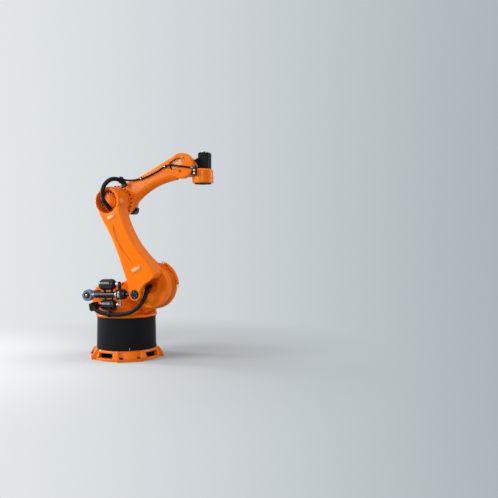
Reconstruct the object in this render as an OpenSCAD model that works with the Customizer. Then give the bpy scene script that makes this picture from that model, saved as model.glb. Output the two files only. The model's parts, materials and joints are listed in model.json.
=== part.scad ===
// Floor-standing palletizing robot arm, stored in the pose of the photograph.
// Millimetres, +Z up, floor at z = 0, origin on the turning axis of the base.
// The foot pads lie on the diagonals of X and Y; the arm is turned from +X by column_turn.

/* [Pose] */
// Turn of the arm on its base
column_turn = 10; // [-40:1:40]
// Backward lean of the link arm
lean = 24; // [10:1:32]
// Rise of the forearm above the horizontal
elevation = 26; // [0:1:35]

/* [Base] */
// Radius of the foot's rim on the floor
foot_r = 486; // [475:1:498]
// Radius of the foot at its top
foot_top_r = 442; // [432:1:455]
// Height of the foot
foot_h = 139; // [125:1:160]
// Height of the foot's upright rim
foot_rim_h = 44; // [30:1:60]
// Wall of the foot casting
foot_wall = 46; // [30:1:56]
// Thickness of the deck that carries the drum
deck_t = 24; // [16:1:32]
// Distance of a pad's flat outer face from the axis
pad_reach = 508; // [502:1:540]
// Width of a pad
pad_w = 360; // [330:1:380]
// Width of the pocket above a pad's ledge
pad_pocket_w = 308; // [290:1:318]
// Height of the ledge under the floor bolts
pad_h = 40; // [28:1:55]
// Larger coordinate of a floor bolt
bolt_far = 420; // [412:1:426]
// Smaller coordinate of a floor bolt
bolt_near = 252; // [244:1:258]
// Diameter of the floor bolt holes
bolt_hole_d = 26; // [18:1:30]
// Width of the fork windows
window_w = 250; // [180:1:270]
// Height of the fork windows
window_h = 70; // [50:1:76]
// Height of the window sills
window_sill = 36; // [28:1:38]
// Radius of the drum at its foot
drum_r = 426; // [415:1:430]
// Radius of the drum at its top
drum_top_r = 417; // [405:1:425]
// Height of the drum's top
drum_top_z = 584; // [560:1:600]
// Thickness of the seal ring on the drum
ring_h = 14; // [8:1:22]
// Radius of the turntable plate
plate_r = 438; // [430:1:450]
// Thickness of the turntable plate
plate_t = 32; // [28:1:40]
// Radius of the bearing spigot under the plate
spigot_r = 250; // [200:1:290]

/* [Column] */
// Shoulder axis ahead of the turning axis
a2_x = 500; // [470:1:530]
// Shoulder axis above the floor
a2_z = 1045; // [1010:1:1080]
// Radius of the shoulder housing
housing_r = 326; // [310:1:335]
// Near end face of the shoulder housing
housing_near_y = -107; // [-115:1:-100]
// Far end face of the shoulder housing
housing_far_y = 120; // [112:1:140]
// Radius of the motor opening in the housing
housing_hole_r = 172; // [160:1:180]
// Radius of the shoulder motor
motor_r = 138; // [125:1:146]
// Trunnion behind the turning axis
trunnion_x = -400; // [-420:1:-380]
// Trunnion above the floor
trunnion_z = 906; // [890:1:920]
// Radius of the trunnion pin
trunnion_r = 44; // [36:1:50]

/* [Balancer] */
// Middle plane of the balancer
balancer_y = -376; // [-380:1:-372]
// Radius of the eye on the trunnion
eye_r = 82; // [76:1:90]
// Width of the eye
eye_w = 74; // [66:1:84]
// Radius of the cylinder tube
tube_r = 42; // [36:1:46]
// Radius of an accumulator
accumulator_r = 78; // [66:1:84]
// Length of an accumulator
accumulator_len = 272; // [240:1:290]
// Distance of the accumulators from the cylinder axis
accumulator_rise = 145; // [138:1:155]
// Radius of the piston rod
rod_r = 25; // [18:1:30]
// Radius of the rod end
rod_eye_r = 56; // [48:1:60]

/* [Link arm] */
// Distance between shoulder and elbow axes
link_len = 1300; // [1250:1:1350]
// Outer face of the link arm
link_outer_y = -475; // [-485:1:-465]
// Inner face of the link arm at the elbow
link_inner_y = -209; // [-215:1:-205]
// Radius of the link arm's head at the elbow
link_head_r = 205; // [190:1:215]
// Radius of the link arm's hub at the shoulder
hub_r = 300; // [290:1:312]
// Thickness of the plate that carries the balancer pin
ear_t = 58; // [48:1:62]
// Radius of the ear round the balancer pin
ear_r = 84; // [78:1:92]
// Radius of the balancer pin's head
pin_r = 62; // [52:1:66]

/* [Forearm] */
// Distance between elbow and wrist axes
forearm_len = 1100; // [1050:1:1150]
// Radius of the forearm's root at the elbow
root_r = 232; // [220:1:242]
// Radius of the cheeks at the wrist axis
cheek_r = 178; // [168:1:186]
// Near face of the forearm
forearm_near_y = -186; // [-192:1:-180]
// Far face of the forearm
forearm_far_y = 160; // [150:1:172]
// Half width of the fork between the cheeks
fork_half = 112; // [106:1:116]

/* [Wrist] */
// Flange axis ahead of the wrist axis
wrist_offset = 250; // [235:1:265]
// Flange face below the wrist axis
flange_drop = 248; // [240:1:260]
// Radius of the wrist's lower body
wrist_r = 147; // [142:1:152]
// Radius of the tool flange
flange_r = 114; // [111:1:118]
// Bolt circle of the tool flange
flange_pcd = 200; // [190:1:204]
// Diameter of the tool flange's bolt holes
flange_hole_d = 14; // [10:1:17]
// Diameter of the tool flange's centring recess
flange_bore_d = 125; // [110:1:140]

/* [Lines] */
// Outer diameter of the lower hose
lower_hose_d = 62; // [50:1:66]
// Outer diameter of the upper hose
upper_hose_d = 62; // [50:1:66]
// Outer diameter of the wrist cable
cable_d = 27; // [20:1:32]

/* [Clearances] */
// Face gap between two bodies at a driven axis
axis_gap = 5; // [4:1:7]
// Radial gap of a running fit
run_gap = 1; // [0.5:0.1:2]

/* [Hidden] */
// Overlap that lets a cut pass a face
eps = 1;
// Fineness of round bodies
fine = 96;
round_n = 72;
small_n = 32;
// Points in one rounded corner
corner_n = 5;
// Paint and other colours
orange = [0.94, 0.47, 0.06];
black = [0.12, 0.12, 0.13];
steel = [0.55, 0.58, 0.62];
chrome = [0.78, 0.79, 0.80];
pale = [0.86, 0.84, 0.80];
white = [0.92, 0.92, 0.90];
yellow = [0.93, 0.78, 0.10];

// Heights on the turning axis
seal_gap = 2;
ring_z = drum_top_z;
plate_z = ring_z + ring_h + seal_gap;
plate_top_z = plate_z + plate_t;

// Foot: inner radii, bore of the deck, core between the fork tunnels, shoulder of the pads
foot_in_low = foot_r - foot_wall - 8;
foot_in_top = foot_top_r - foot_wall + 10;
deck_bore_r = spigot_r + 50;
core_gap = 10;
core_sill = 8;
tunnel_half = window_w / 2 + 5;
pad_shoulder = 6;

// Turntable: depth of the spigot, overhang of the seal ring, chamfers
spigot_h = 60;
ring_over = 8;
ring_edge = 4;
plate_edge = 8;

// Elbow and wrist axes in the arm's own plane
a3_x = a2_x - link_len * sin(lean);
a3_z = a2_z + link_len * cos(lean);
a5_x = a3_x + forearm_len * cos(elevation);
a5_z = a3_z + forearm_len * sin(elevation);

// Column: web, ribs, rear block and skirt
web_near_y = housing_near_y + 10;
web_far_y = 30;
front_x = 350;
near_flange_y = web_near_y - 13;
rib_far_y = housing_far_y - 8;
rib_t = 26;
flange_t = 28;
block_near_y = near_flange_y - 2;
block_far_y = 200;
skirt_h = 90;
skirt_r = plate_r - 70;
skirt_top_r = 290;
shoulder_r = 120;
neck_r = housing_r - 28;
neck_w = 22;
housing_end_r = housing_r - 72;
housing_flank_y = -30;
housing_lip = 22;
lip_depth = 10;
motor_seat_y = 20;
motor_cap_w = 30;
pin_collar_r = 56;

// Outline of the housing from its near face to its far face, radius and Y
housing_profile = [
    [0, housing_near_y], [neck_r, housing_near_y], [neck_r, housing_near_y + neck_w],
    [housing_r, housing_near_y + neck_w], [housing_r, housing_flank_y],
    [housing_r - 16, housing_flank_y + 40], [housing_r - 42, housing_flank_y + 90],
    [housing_end_r, housing_far_y - 14],
    [housing_end_r - 8, housing_far_y], [0, housing_far_y]
];

// Rear edge of the column from the plate upward, then its top edge from the trunnion to the housing
column_rear = [
    [trunnion_x, plate_top_z], [trunnion_x - 30, plate_top_z + 20], [trunnion_x - 92, plate_top_z + 40],
    [trunnion_x - 104, plate_top_z + 90], [trunnion_x - 98, trunnion_z - 70],
    [trunnion_x - 82, trunnion_z + 40], [trunnion_x - 40, trunnion_z + 92]
];
column_top = [
    [trunnion_x + 50, trunnion_z + 100], [trunnion_x + 220, trunnion_z + 120],
    [trunnion_x + 400, trunnion_z + 176], [trunnion_x + 560, trunnion_z + 262],
    [trunnion_x + 680, trunnion_z + 356]
];
// Centre lines of the fanning ribs on the far side
rib_high = [
    [trunnion_x + 60, trunnion_z - 60], [trunnion_x + 300, trunnion_z], [a2_x - housing_end_r + 30, a2_z - 10]
];
rib_mid = [
    [trunnion_x + 60, trunnion_z - 160], [trunnion_x + 400, trunnion_z - 120], [a2_x - 160, a2_z - 160]
];
rib_low = [[40, plate_top_z + 14], [a2_x - 240, plate_top_z + 60], [a2_x - 60, a2_z - housing_end_r + 30]];

// Yellow caps on the plate and on the rear block
cap_turn = 30;
rear_cap_x = trunnion_x - 18;
cap_in = 36;
cap_r = 30;
cap_h = 34;
rear_cap_r = 19;
rear_cap_h = 24;
rear_cap_in = 32;
cap_seat = 90;

// Stop bracket on the housing and its buffers
stop_near_y = -80;
stop_far_y = -34;
stop_h = 36;
stop_from = 4;
stop_to = 66;
buffer_r = 22;
buffer_len = 34;

// Balancer: length and tilt between the trunnion and the ear pin
pin_s = -135;
pin_t = -50;
pin_x = a2_x + pin_s * cos(lean) - pin_t * sin(lean);
pin_z = a2_z + pin_s * sin(lean) + pin_t * cos(lean);
balancer_len = norm([pin_x - trunnion_x, pin_z - trunnion_z]);
balancer_tilt = atan2(pin_z - trunnion_z, pin_x - trunnion_x);
// Places along the balancer, from the trunnion
neck_end = eye_r + 30;
accumulator_at = 187;
manifold_at = 480;
manifold_len = 90;
manifold_w = 104;
manifold_low = 66;
manifold_high = 74;
gland_r = 54;
gland_len = 34;
rod_from = 300;
rod_boss_r = 34;
rod_boss_len = 80;
rod_boss_back = 110;
rod_eye_half = 34;
clamp_w = 28;
clamp_half = 16;
valve_r = 26;
valve_len = 34;
nut_r = 20;
pipe_r = 15;
pipe_at = accumulator_at + accumulator_len + 52;

// Link arm stations: distance from the shoulder, rear, front, outer face, inner face, then the edge radii
// in the order front inner, rear inner, rear outer, front outer
link_root_y = -150;
link_stations = [
    [0.02 * link_len, -186, 276, link_outer_y, link_root_y, 36, 40, 20, 22],
    [0.18 * link_len, -182, 238, link_outer_y, link_root_y, 42, 46, 44, 26],
    [0.30 * link_len, -184, 192, link_outer_y, link_inner_y + 20, 46, 50, 66, 30],
    [0.45 * link_len, -180, 140, link_outer_y, link_inner_y, 46, 54, 84, 30],
    [0.60 * link_len, -182, 112, link_outer_y, link_inner_y, 44, 54, 90, 28],
    [0.74 * link_len, -192, 108, link_outer_y, link_inner_y, 42, 52, 84, 26],
    [0.86 * link_len, -204, 128, link_outer_y, link_inner_y, 40, 48, 64, 24],
    [0.97 * link_len, -196, 164, link_outer_y, link_inner_y, 36, 40, 44, 24]
];
// Spear-shaped hollow of the link arm: part of its length, middle, half width, depth
hollow_rows = [
    [0.24, 14, 4, 2], [0.32, 2, 9, 7], [0.43, -27, 27, 15], [0.54, -48, 37, 20], [0.61, -50, 35, 19],
    [0.69, -47, 24, 13], [0.74, -34, 5, 2]
];
hub_near_y = -262;
hub_edge = 14;
dish_depth = 62;
dish_edge = 22;
dish_r = 150;
dish_hole_r = 100;
dish_hole_y = -140;
spigot_end_y = -10;
cavity_far_y = hub_near_y;
cavity_top = 110;
cavity_front = 196;
// Lower edge of the link arm between the ear and the hub's rim
arch_line = [
    [-46, -200], [-46, -70], [-31, -32], [0, -9], [70, 24], [158, 38], [219, 54], [266, 92], [330, 130]
];
head_edge = 20;
head_shift = -12;
head_wall = 42;
// Outline of the head from its outer face to its inner face, radius and Y
head_profile = [
    [0, link_outer_y], [link_head_r - 24, link_outer_y], [link_head_r - 16, link_outer_y + 6],
    [link_head_r - 8, link_outer_y + 34], [link_head_r, link_outer_y + 90],
    [link_head_r, link_inner_y - head_edge], [link_head_r - head_edge, link_inner_y], [0, link_inner_y]
];
head_depth = 130;
elbow_r = 120;
elbow_bore_len = 70;
elbow_spigot_len = 60;
cover_gap = 14;
cover_t = 26;
cover_cap_r = 96;
cover_cap_t = 28;
pin_head_t = 6;
// Cast pads on the outer face: distance from the shoulder, middle, length, width
pad_rows = [[0.80, -30, 120, 62], [0.175, 34, 150, 60]];
pad_rise = 4;

// Forearm stations: distance from the elbow, underside, top, near face, far face, then the edge radii
// in the order far top, near top, near bottom, far bottom
forearm_stations = [
    [0.06 * forearm_len, -210, 214, forearm_near_y, forearm_far_y - 50, 60, 60, 60, 160],
    [0.18 * forearm_len, -150, 200, forearm_near_y, forearm_far_y - 56, 70, 64, 66, 170],
    [0.32 * forearm_len, -100, 186, forearm_near_y, forearm_far_y - 70, 80, 70, 70, 164],
    [0.48 * forearm_len, -74, 180, forearm_near_y, forearm_far_y - 76, 80, 72, 72, 160],
    [0.64 * forearm_len, -76, 184, forearm_near_y, forearm_far_y - 72, 80, 72, 72, 160],
    [0.80 * forearm_len, -106, 188, forearm_near_y, forearm_far_y - 36, 100, 66, 68, 165],
    [0.93 * forearm_len, -140, 183, forearm_near_y, forearm_far_y - 10, 120, 50, 56, 170],
    [1.00 * forearm_len, -164, 176, forearm_near_y, forearm_far_y - 4, 130, 40, 44, 170]
];
root_far_y = forearm_far_y - 42;
root_end_r = root_r - 54;
root_lip_r = root_end_r - 26;
root_lip_t = 10;
// Outline of the forearm's root from its near face to its far face, radius and Y
root_profile = [
    [0, forearm_near_y], [root_r - 6, forearm_near_y], [root_r, forearm_near_y + 6],
    [root_r, forearm_near_y + 66], [root_r - 14, forearm_near_y + 130], [root_end_r, root_far_y - 16],
    [root_end_r - 12, root_far_y], [0, root_far_y]
];
root_recess_r = 116;
root_recess_depth = 48;
cheek_edge = 16;
far_cheek_r = 134;
flange_step = 22;
fork_back = 176;
shaft_r = 70;
shaft_near = 28;
shaft_far = 30;
// Oval recess on the near cheek: its two centres, radius and depth
oval_a = -100;
oval_len = 84;
oval_b = 58;
oval_r = 62;
oval_depth = 40;
cover_plate_t = 12;
cover_plate_gap = 4;
// Fixing holes in the near cheek: from the wrist axis along and across, radius
cheek_holes = [[76, 89, 13], [-42, -66, 18]];
hole_depth = 24;
motor_bulge_a = 72;
motor_bulge_b = -170;
motor_bulge_r = 58;
motor_bulge_near_y = -36;
motor_bulge_far_y = 70;
plug_size = [66, 60, 50];

// Wrist: hub, neck stations along X with bottom, top and half width, drum heights
wrist_hub_r = 128;
neck_rows = [
    [20, -118, 106, -90, 90, 40, 40, 40, 40], [90, -144, 70, -92, 92, 44, 44, 44, 44],
    [166, -186, -8, -96, 96, 40, 40, 40, 40], [206, -202, -46, -98, 98, 30, 30, 30, 30],
    [250, -208, -52, -100, 100, 26, 26, 26, 26]
];
wrist_top_z = -40;
wrist_seam_z = -138;
seam_step = 6;
flange_t2 = 22;
flange_show = 12;
flange_shaft_r = 80;
flange_shaft_h = 70;
flange_bore_depth = 8;
cheek_clear = 8;
flange_motor_x = 12;
flange_motor_y = 34;
flange_motor_half = 78;
flange_motor_r = 30;
flange_motor_h = 212;
flange_motor_top = 22;
flange_motor_inset = 20;
motor_seat_back = 88;
knob_r = 16;
knob_h = 12;
wrist_motor_r = 116;
wrist_motor_len = 114;
motor_rim_t = 16;
plug_low = [34, 60, 66];
plug_high = [46, 44, 60];
plug_low_z = 30;
plug_high_z = 56;
connector_size = [64, 87, 100];
connector_x = 158;
connector_y = -187;
connector_z = -134;

// A point of the link arm's frame or of the forearm's frame in the arm's own plane
function on_link(s, y, t) = [a2_x + s * cos(lean) - t * sin(lean), y, a2_z + s * sin(lean) + t * cos(lean)];
function on_forearm(a, y, b) =
    [a3_x + a * cos(elevation) - b * sin(elevation), y, a3_z + a * sin(elevation) + b * cos(elevation)];

// Hose and cable routes, from their first fitting to their last
clamp_x = 0;
clamp_y = -490;
clamp_z = 666;
lower_route = [
    [-262, -466, 756], [-196, -484, 708], [-110, -490, 680], [-20, -490, 668], [100, -490, 662],
    [240, -486, 676], [360, -470, 716], [450, -440, 790], [a2_x, -382, a2_z - 155],
    [a2_x + 10, -345, a2_z - 65], [a2_x + 4, -290, a2_z - 10], [a2_x, -220, a2_z]
];
upper_route = [
    on_link(-36, -398, link_len - 104), on_link(-34, -462, link_len - 34), on_link(-28, -506, link_len + 34),
    on_link(0, -520, link_len + 114), on_link(56, -522, link_len + 184), on_link(108, -480, link_len + 236),
    on_link(152, -404, link_len + 266), on_link(178, -326, link_len + 264), on_forearm(194, -261, 248)
];
cable_route = [
    [234, -226, 236], [300, -216, 184], [400, -208, 140], [520, -206, 106], [640, -206, 92], [760, -206, 90],
    [880, -206, 96], [980, -208, 72], [1060, -212, 16],
    [1130, -210, -32], [1190, -207, -74], [1236, -203, -106]
];
// Bracket of the upper hose on the near face, with its block
bracket_a = 168;
bracket_b = 138;
bracket_w = 78;
bracket_h = 78;
bracket_t = 22;
block_w = 62;
block_h = 76;
block_out = 46;
// Box where the lower hose starts: its corners above the plate and its two faces
box_corners = [[-314, 164], [-300, 82], [-276, 60], [-242, 88], [-246, 146], [-270, 184]];
box_arm_at = [-300, 104];
box_arm_size = [28, 30];
box_near_y = -502;
box_far_y = -340;
// Clips that hold the cable: place along and across the forearm
clip_places = [[480, 117], [880, 96]];
clip_size = [22, 34, 46];

// A point on a smooth curve between b and c
function curve(a, b, c, d, u) =
    0.5 * (2 * b + (c - a) * u + (2 * a - 5 * b + 4 * c - d) * u * u + (3 * b - a - 3 * c + d) * u * u * u);

// A route or a table of stations filled in with n steps between its rows
function filled(rows, n) = concat(
    [for (i = [0 : len(rows) - 2]) for (k = [0 : n - 1])
        curve(rows[max(i - 1, 0)], rows[i], rows[i + 1], rows[min(i + 2, len(rows) - 1)], k / n)],
    [rows[len(rows) - 1]]);

// A quarter round about (x, y), flattened towards its chord by flat
function corner(x, y, r, start, flat) = [for (k = [0 : corner_n])
    let (
        u = k / corner_n,
        arc = [cos(start + 90 * u), sin(start + 90 * u)],
        chord = [cos(start), sin(start)] * (1 - u) + [cos(start + 90), sin(start + 90)] * u
    )
    [x, y] + r * (arc * (1 - flat) + chord * flat)];

// A rectangle with four rounded corners, counted from the upper right one
function rounded(x0, x1, y0, y1, r, flat = 0) = concat(
    corner(x1 - r[0], y1 - r[0], r[0], 0, flat),
    corner(x0 + r[1], y1 - r[1], r[1], 90, flat),
    corner(x0 + r[2], y0 + r[2], r[2], 180, flat),
    corner(x1 - r[3], y0 + r[3], r[3], 270, flat));

// The four edge radii at the end of a station
function radii(row) = [row[5], row[6], row[7], row[8]];

// A skin through rings that all have the same number of points
module skin(rings) {
    m = len(rings[0]);
    last = len(rings) - 1;
    points = [for (ring = rings) for (p = ring) p];
    sides = [for (i = [0 : last - 1]) for (j = [0 : m - 1]) each [
        [i * m + j, (i + 1) * m + (j + 1) % m, i * m + (j + 1) % m],
        [i * m + j, (i + 1) * m + j, (i + 1) * m + (j + 1) % m]
    ]];
    start = [[for (j = [0 : m - 1]) j]];
    end = [[for (j = [m - 1 : -1 : 0]) last * m + j]];
    polyhedron(points, concat(sides, start, end));
}

// A round tube along a route
module tube_along(route, d, steps, sides) {
    path = filled(route, steps);
    last = len(path) - 1;
    skin([for (i = [0 : last])
        let (
            t = path[min(i + 1, last)] - path[max(i - 1, 0)],
            f = t / norm(t),
            e = cross(f, [0, 1, 0]),
            a = e / norm(e),
            b = cross(f, a)
        )
        [for (j = [0 : sides - 1]) path[i] + d / 2 * (a * cos(360 * j / sides) + b * sin(360 * j / sides))]
    ]);
}

// Frames of the moving groups
module turned() {
    rotate([0, 0, column_turn]) children();
}

module at_shoulder() {
    turned() translate([a2_x, 0, a2_z]) children();
}

module at_balancer() {
    turned() translate([trunnion_x, balancer_y, trunnion_z]) rotate([0, -balancer_tilt, 0]) children();
}

module at_link() {
    at_shoulder() rotate([0, -lean, 0]) children();
}

module at_forearm() {
    turned() translate([a3_x, 0, a3_z]) rotate([0, -elevation, 0]) children();
}

module at_wrist() {
    turned() translate([a5_x, 0, a5_z]) children();
}

// A cylinder along Y from y0 to y1
module disc(r, y0, y1) {
    translate([0, y0, 0]) rotate([-90, 0, 0]) cylinder(h = y1 - y0, r = r, $fn = round_n);
}

// A cylinder along X from x0 to x1
module bar(r, x0, x1) {
    translate([x0, 0, 0]) rotate([0, 90, 0]) cylinder(h = x1 - x0, r = r, $fn = round_n);
}

// A cylinder along Y with edges rounded by e0 at y0 and by e1 at y1
module puck(r, y0, y1, e0, e1) {
    translate([0, y0, 0]) rotate([-90, 0, 0]) rotate_extrude($fn = round_n) polygon(concat(
        [[0, 0]],
        [for (p = corner(r - e0, e0, e0, 270, 0)) p],
        [for (p = corner(r - e1, y1 - y0 - e1, e1, 0, 0)) p],
        [[0, y1 - y0]]
    ));
}

// A body of revolution round Y, its outline given as radius and Y
module turned_body(profile) {
    rotate([-90, 0, 0]) rotate_extrude($fn = round_n) polygon(profile);
}

// A side outline in X and Z drawn out from y0 to y1
module side_plate(y0, y1) {
    translate([0, y1, 0]) rotate([90, 0, 0]) linear_extrude(height = y1 - y0) children();
}

// One of the four foot pads, pointing along +X
module pad() {
    difference() {
        side_plate(-pad_w / 2, pad_w / 2) polygon([
            [foot_in_top, 0], [pad_reach, 0], [pad_reach, foot_rim_h + pad_shoulder],
            [foot_top_r + pad_shoulder, foot_h], [foot_in_top, foot_h]
        ]);
        translate([foot_top_r + pad_shoulder / 2, -pad_pocket_w / 2, pad_h])
            cube([pad_reach, pad_pocket_w, foot_h]);
    }
}

module base_foot() {
    color(orange) difference() {
        union() {
            rotate_extrude($fn = fine) polygon([
                [deck_bore_r, foot_h - deck_t], [foot_in_top, foot_h - deck_t], [foot_in_low, 0], [foot_r, 0],
                [foot_r, foot_rim_h], [foot_top_r, foot_h], [deck_bore_r, foot_h]
            ]);
            for (a = [45 : 90 : 315]) {
                rotate([0, 0, a]) pad();
            }
        }
        for (a = [0 : 90 : 270]) {
            rotate([0, 0, a]) translate([foot_top_r - 2 * foot_wall, -window_w / 2, window_sill])
                cube([4 * foot_wall, window_w, window_h]);
        }
        for (sx = [-1, 1]) for (sy = [-1, 1]) {
            translate([sx * bolt_far, sy * bolt_near, -eps])
                cylinder(h = pad_h + 2 * eps, d = bolt_hole_d, $fn = small_n);
            translate([sx * bolt_near, sy * bolt_far, -eps])
                cylinder(h = pad_h + 2 * eps, d = bolt_hole_d, $fn = small_n);
        }
    }
}

// Four blocks under the deck that leave the fork tunnels free
module foot_core() {
    core_h = foot_h - deck_t - core_sill;
    color(black) intersection() {
        translate([0, 0, core_sill]) cylinder(h = core_h, r = foot_in_top - core_gap, $fn = fine);
        for (a = [0 : 90 : 270]) {
            rotate([0, 0, a]) translate([tunnel_half, tunnel_half, 0]) cube([foot_r, foot_r, foot_h]);
        }
    }
}

module base_drum() {
    color(black) rotate_extrude($fn = fine) polygon([
        [spigot_r + run_gap, foot_h], [drum_r, foot_h], [drum_top_r, drum_top_z],
        [spigot_r + run_gap, drum_top_z]
    ]);
}

module turntable_ring() {
    color(black) rotate_extrude($fn = fine) polygon([
        [spigot_r + run_gap, ring_z], [drum_top_r + ring_over, ring_z],
        [drum_top_r + ring_over, ring_z + ring_h - ring_edge], [drum_top_r + ring_edge, ring_z + ring_h],
        [spigot_r + run_gap, ring_z + ring_h]
    ]);
}

module turntable() {
    color(orange) turned() rotate_extrude($fn = fine) polygon([
        [0, plate_z - spigot_h], [spigot_r, plate_z - spigot_h], [spigot_r, plate_z],
        [plate_r - plate_edge, plate_z],
        [plate_r, plate_z + plate_edge], [plate_r, plate_top_z - plate_edge],
        [plate_r - plate_edge, plate_top_z],
        [0, plate_top_z]
    ]);
}

// Side outline of the column between the plate, the trunnion and the shoulder
module column_outline() {
    polygon(concat(
        filled(concat(column_rear, column_top), 3),
        [[a2_x - 120, a2_z + housing_r - 24], [a2_x, a2_z],
            [a2_x + 0.70 * housing_r, a2_z - 0.64 * housing_r], [front_x, plate_top_z + 20],
            [front_x, plate_top_z]]
    ));
}

// A curved rib given by its centre line
module rib(line, thick, y0, y1) {
    path = filled(line, 4);
    side_plate(y0, y1) polygon(concat(
        [for (p = path) p + [0, thick / 2]],
        [for (i = [len(path) - 1 : -1 : 0]) path[i] - [0, thick / 2]]
    ));
}

module column_casting() {
    top_line = [for (p = column_top) p - [0, flange_t / 2]];
    color(orange) turned() difference() {
        union() {
            side_plate(web_near_y, web_far_y) column_outline();
            translate([a2_x, 0, a2_z]) {
                turned_body(housing_profile);
            }
            // Rear block round the trunnion
            side_plate(block_near_y, block_far_y) polygon(concat(
                filled(concat(column_rear, [column_top[0]]), 3),
                [[trunnion_x + 96, trunnion_z + 40], [trunnion_x + 110, trunnion_z - 110],
                    [trunnion_x + 70, plate_top_z]]
            ));
            // Top flange and fanning ribs
            rib(top_line, flange_t, web_near_y, rib_far_y);
            rib([top_line[0], top_line[1], top_line[2]], flange_t, near_flange_y, web_near_y);
            rib(rib_high, rib_t, 0, rib_far_y);
            rib(rib_mid, rib_t, 0, rib_far_y);
            rib(rib_low, rib_t, 0, rib_far_y);
            // Conical skirt on the plate
            translate([0, 0, plate_top_z]) cylinder(h = skirt_h, r1 = skirt_r, r2 = skirt_top_r, $fn = fine);
            // Front wall under the housing
            side_plate(web_near_y, rib_far_y) polygon([
                [front_x - 10, plate_top_z], [a2_x + 0.52 * housing_r, a2_z - 0.60 * housing_r],
                [a2_x + 0.2 * housing_r, a2_z - 0.7 * housing_r], [front_x - 70, plate_top_z]
            ]);
        }
        translate([a2_x, 0, a2_z]) {
            // Motor opening, step of its rim and shoulder bearing
            disc(housing_hole_r, motor_seat_y, housing_far_y + eps);
            disc(housing_end_r - housing_lip, housing_far_y - lip_depth, housing_far_y + eps);
            disc(shoulder_r + run_gap, housing_near_y - eps, 0);
        }
        translate([trunnion_x, 0, trunnion_z]) disc(trunnion_r, block_near_y - eps, block_far_y + eps);
        // Spot face under the rear cap
        translate([rear_cap_x, block_near_y + rear_cap_in, trunnion_z + cap_seat])
            cylinder(h = 2 * rear_cap_h, r = rear_cap_r + 5, $fn = small_n);
    }
}

module shoulder_motor() {
    end_y = housing_far_y - 2 * lip_depth;
    color(black) at_shoulder() {
        puck(motor_r, motor_seat_y, end_y - motor_cap_w, eps, 12);
        disc(motor_r - 24, end_y - motor_cap_w, end_y - motor_cap_w / 2);
        disc(motor_r - 90, end_y - motor_cap_w / 2, end_y);
    }
}

module trunnion_pin() {
    color(black) turned() translate([trunnion_x, 0, trunnion_z]) {
        disc(trunnion_r, balancer_y - eye_w / 2 - axis_gap, block_far_y);
        disc(pin_collar_r, balancer_y + eye_w / 2 + axis_gap, block_near_y);
        puck(trunnion_r - 8, block_far_y, block_far_y + 14, eps, 8);
    }
}

module stop_bracket() {
    reach = 2 * housing_r;
    color(orange) at_shoulder() difference() {
        intersection() {
            puck(housing_r + stop_h, stop_near_y, stop_far_y, 8, 8);
            side_plate(stop_near_y, stop_far_y) polygon([
                [0, 0], reach * [cos(stop_from), sin(stop_from)], reach * [1, 1],
                reach * [cos(stop_to), sin(stop_to)]
            ]);
        }
        disc(housing_r, stop_near_y - eps, stop_far_y + eps);
    }
}

module stop_buffers() {
    mid_y = (stop_near_y + stop_far_y) / 2;
    mid_r = housing_r + stop_h / 2 + 6;
    color(white) at_shoulder() {
        rotate([0, -stop_from, 0]) translate([mid_r, mid_y, -buffer_len])
            cylinder(h = buffer_len, r = buffer_r, $fn = small_n);
        rotate([0, -stop_to, 0]) translate([mid_r, mid_y, 0])
            cylinder(h = buffer_len, r = buffer_r, $fn = small_n);
    }
}

module hose_box() {
    color(black) turned() translate([0, 0, plate_top_z]) {
        side_plate(box_near_y, box_far_y) polygon(box_corners);
        translate([box_arm_at[0], box_far_y - eps, box_arm_at[1]])
            cube([box_arm_size[0], block_near_y - box_far_y + eps, box_arm_size[1]]);
    }
}

module hose_clamp() {
    clamp_d = lower_hose_d + 2 * rib_t;
    color(black) turned() difference() {
        union() {
            translate([clamp_x, clamp_y - rib_t, plate_top_z]) cube([rib_t, plate_r - skirt_r + rib_t, 18]);
            translate([0, clamp_y, clamp_z]) bar(clamp_d / 2 - 10, clamp_x, clamp_x + rib_t);
        }
        translate([0, clamp_y, clamp_z]) bar(lower_hose_d / 2, clamp_x - eps, clamp_x + rib_t + eps);
    }
}

module rim_caps() {
    color(yellow) turned() {
        rotate([0, 0, cap_turn]) translate([plate_r - cap_in, 0, plate_top_z])
            cylinder(h = cap_h, r = cap_r, $fn = small_n);
        translate([rear_cap_x, block_near_y + rear_cap_in, trunnion_z + cap_seat])
            cylinder(h = rear_cap_h, r = rear_cap_r, $fn = small_n);
    }
}

module balancer_eye() {
    color(steel) at_balancer() difference() {
        union() {
            puck(eye_r, -eye_w / 2, eye_w / 2, 8, 8);
            bar(tube_r - 6, 0, neck_end);
        }
        disc(trunnion_r + run_gap, -eye_w, eye_w);
    }
}

module balancer_tube() {
    clamp_h = accumulator_rise - accumulator_r + 10;
    color(black) at_balancer() difference() {
        union() {
            bar(tube_r, neck_end, manifold_at);
            for (x = [accumulator_at + accumulator_r, accumulator_at + accumulator_len - accumulator_r]) {
                translate([x - clamp_w / 2, -clamp_half, -clamp_h])
                    cube([clamp_w, 2 * clamp_half, 2 * clamp_h]);
            }
        }
        bar(rod_r + run_gap, neck_end + rib_t, manifold_at + eps);
        for (side = [-1, 1]) {
            translate([accumulator_at, 0, side * accumulator_rise]) bar(accumulator_r, 0, accumulator_len);
        }
    }
}

module balancer_manifold() {
    color(black) at_balancer() difference() {
        union() {
            translate([manifold_at, -manifold_w / 2, -manifold_low])
                cube([manifold_len, manifold_w, manifold_low + manifold_high]);
            bar(gland_r, manifold_at + manifold_len, manifold_at + manifold_len + gland_len);
        }
        bar(rod_r + run_gap, manifold_at - eps, manifold_at + manifold_len + gland_len + eps);
    }
}

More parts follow.
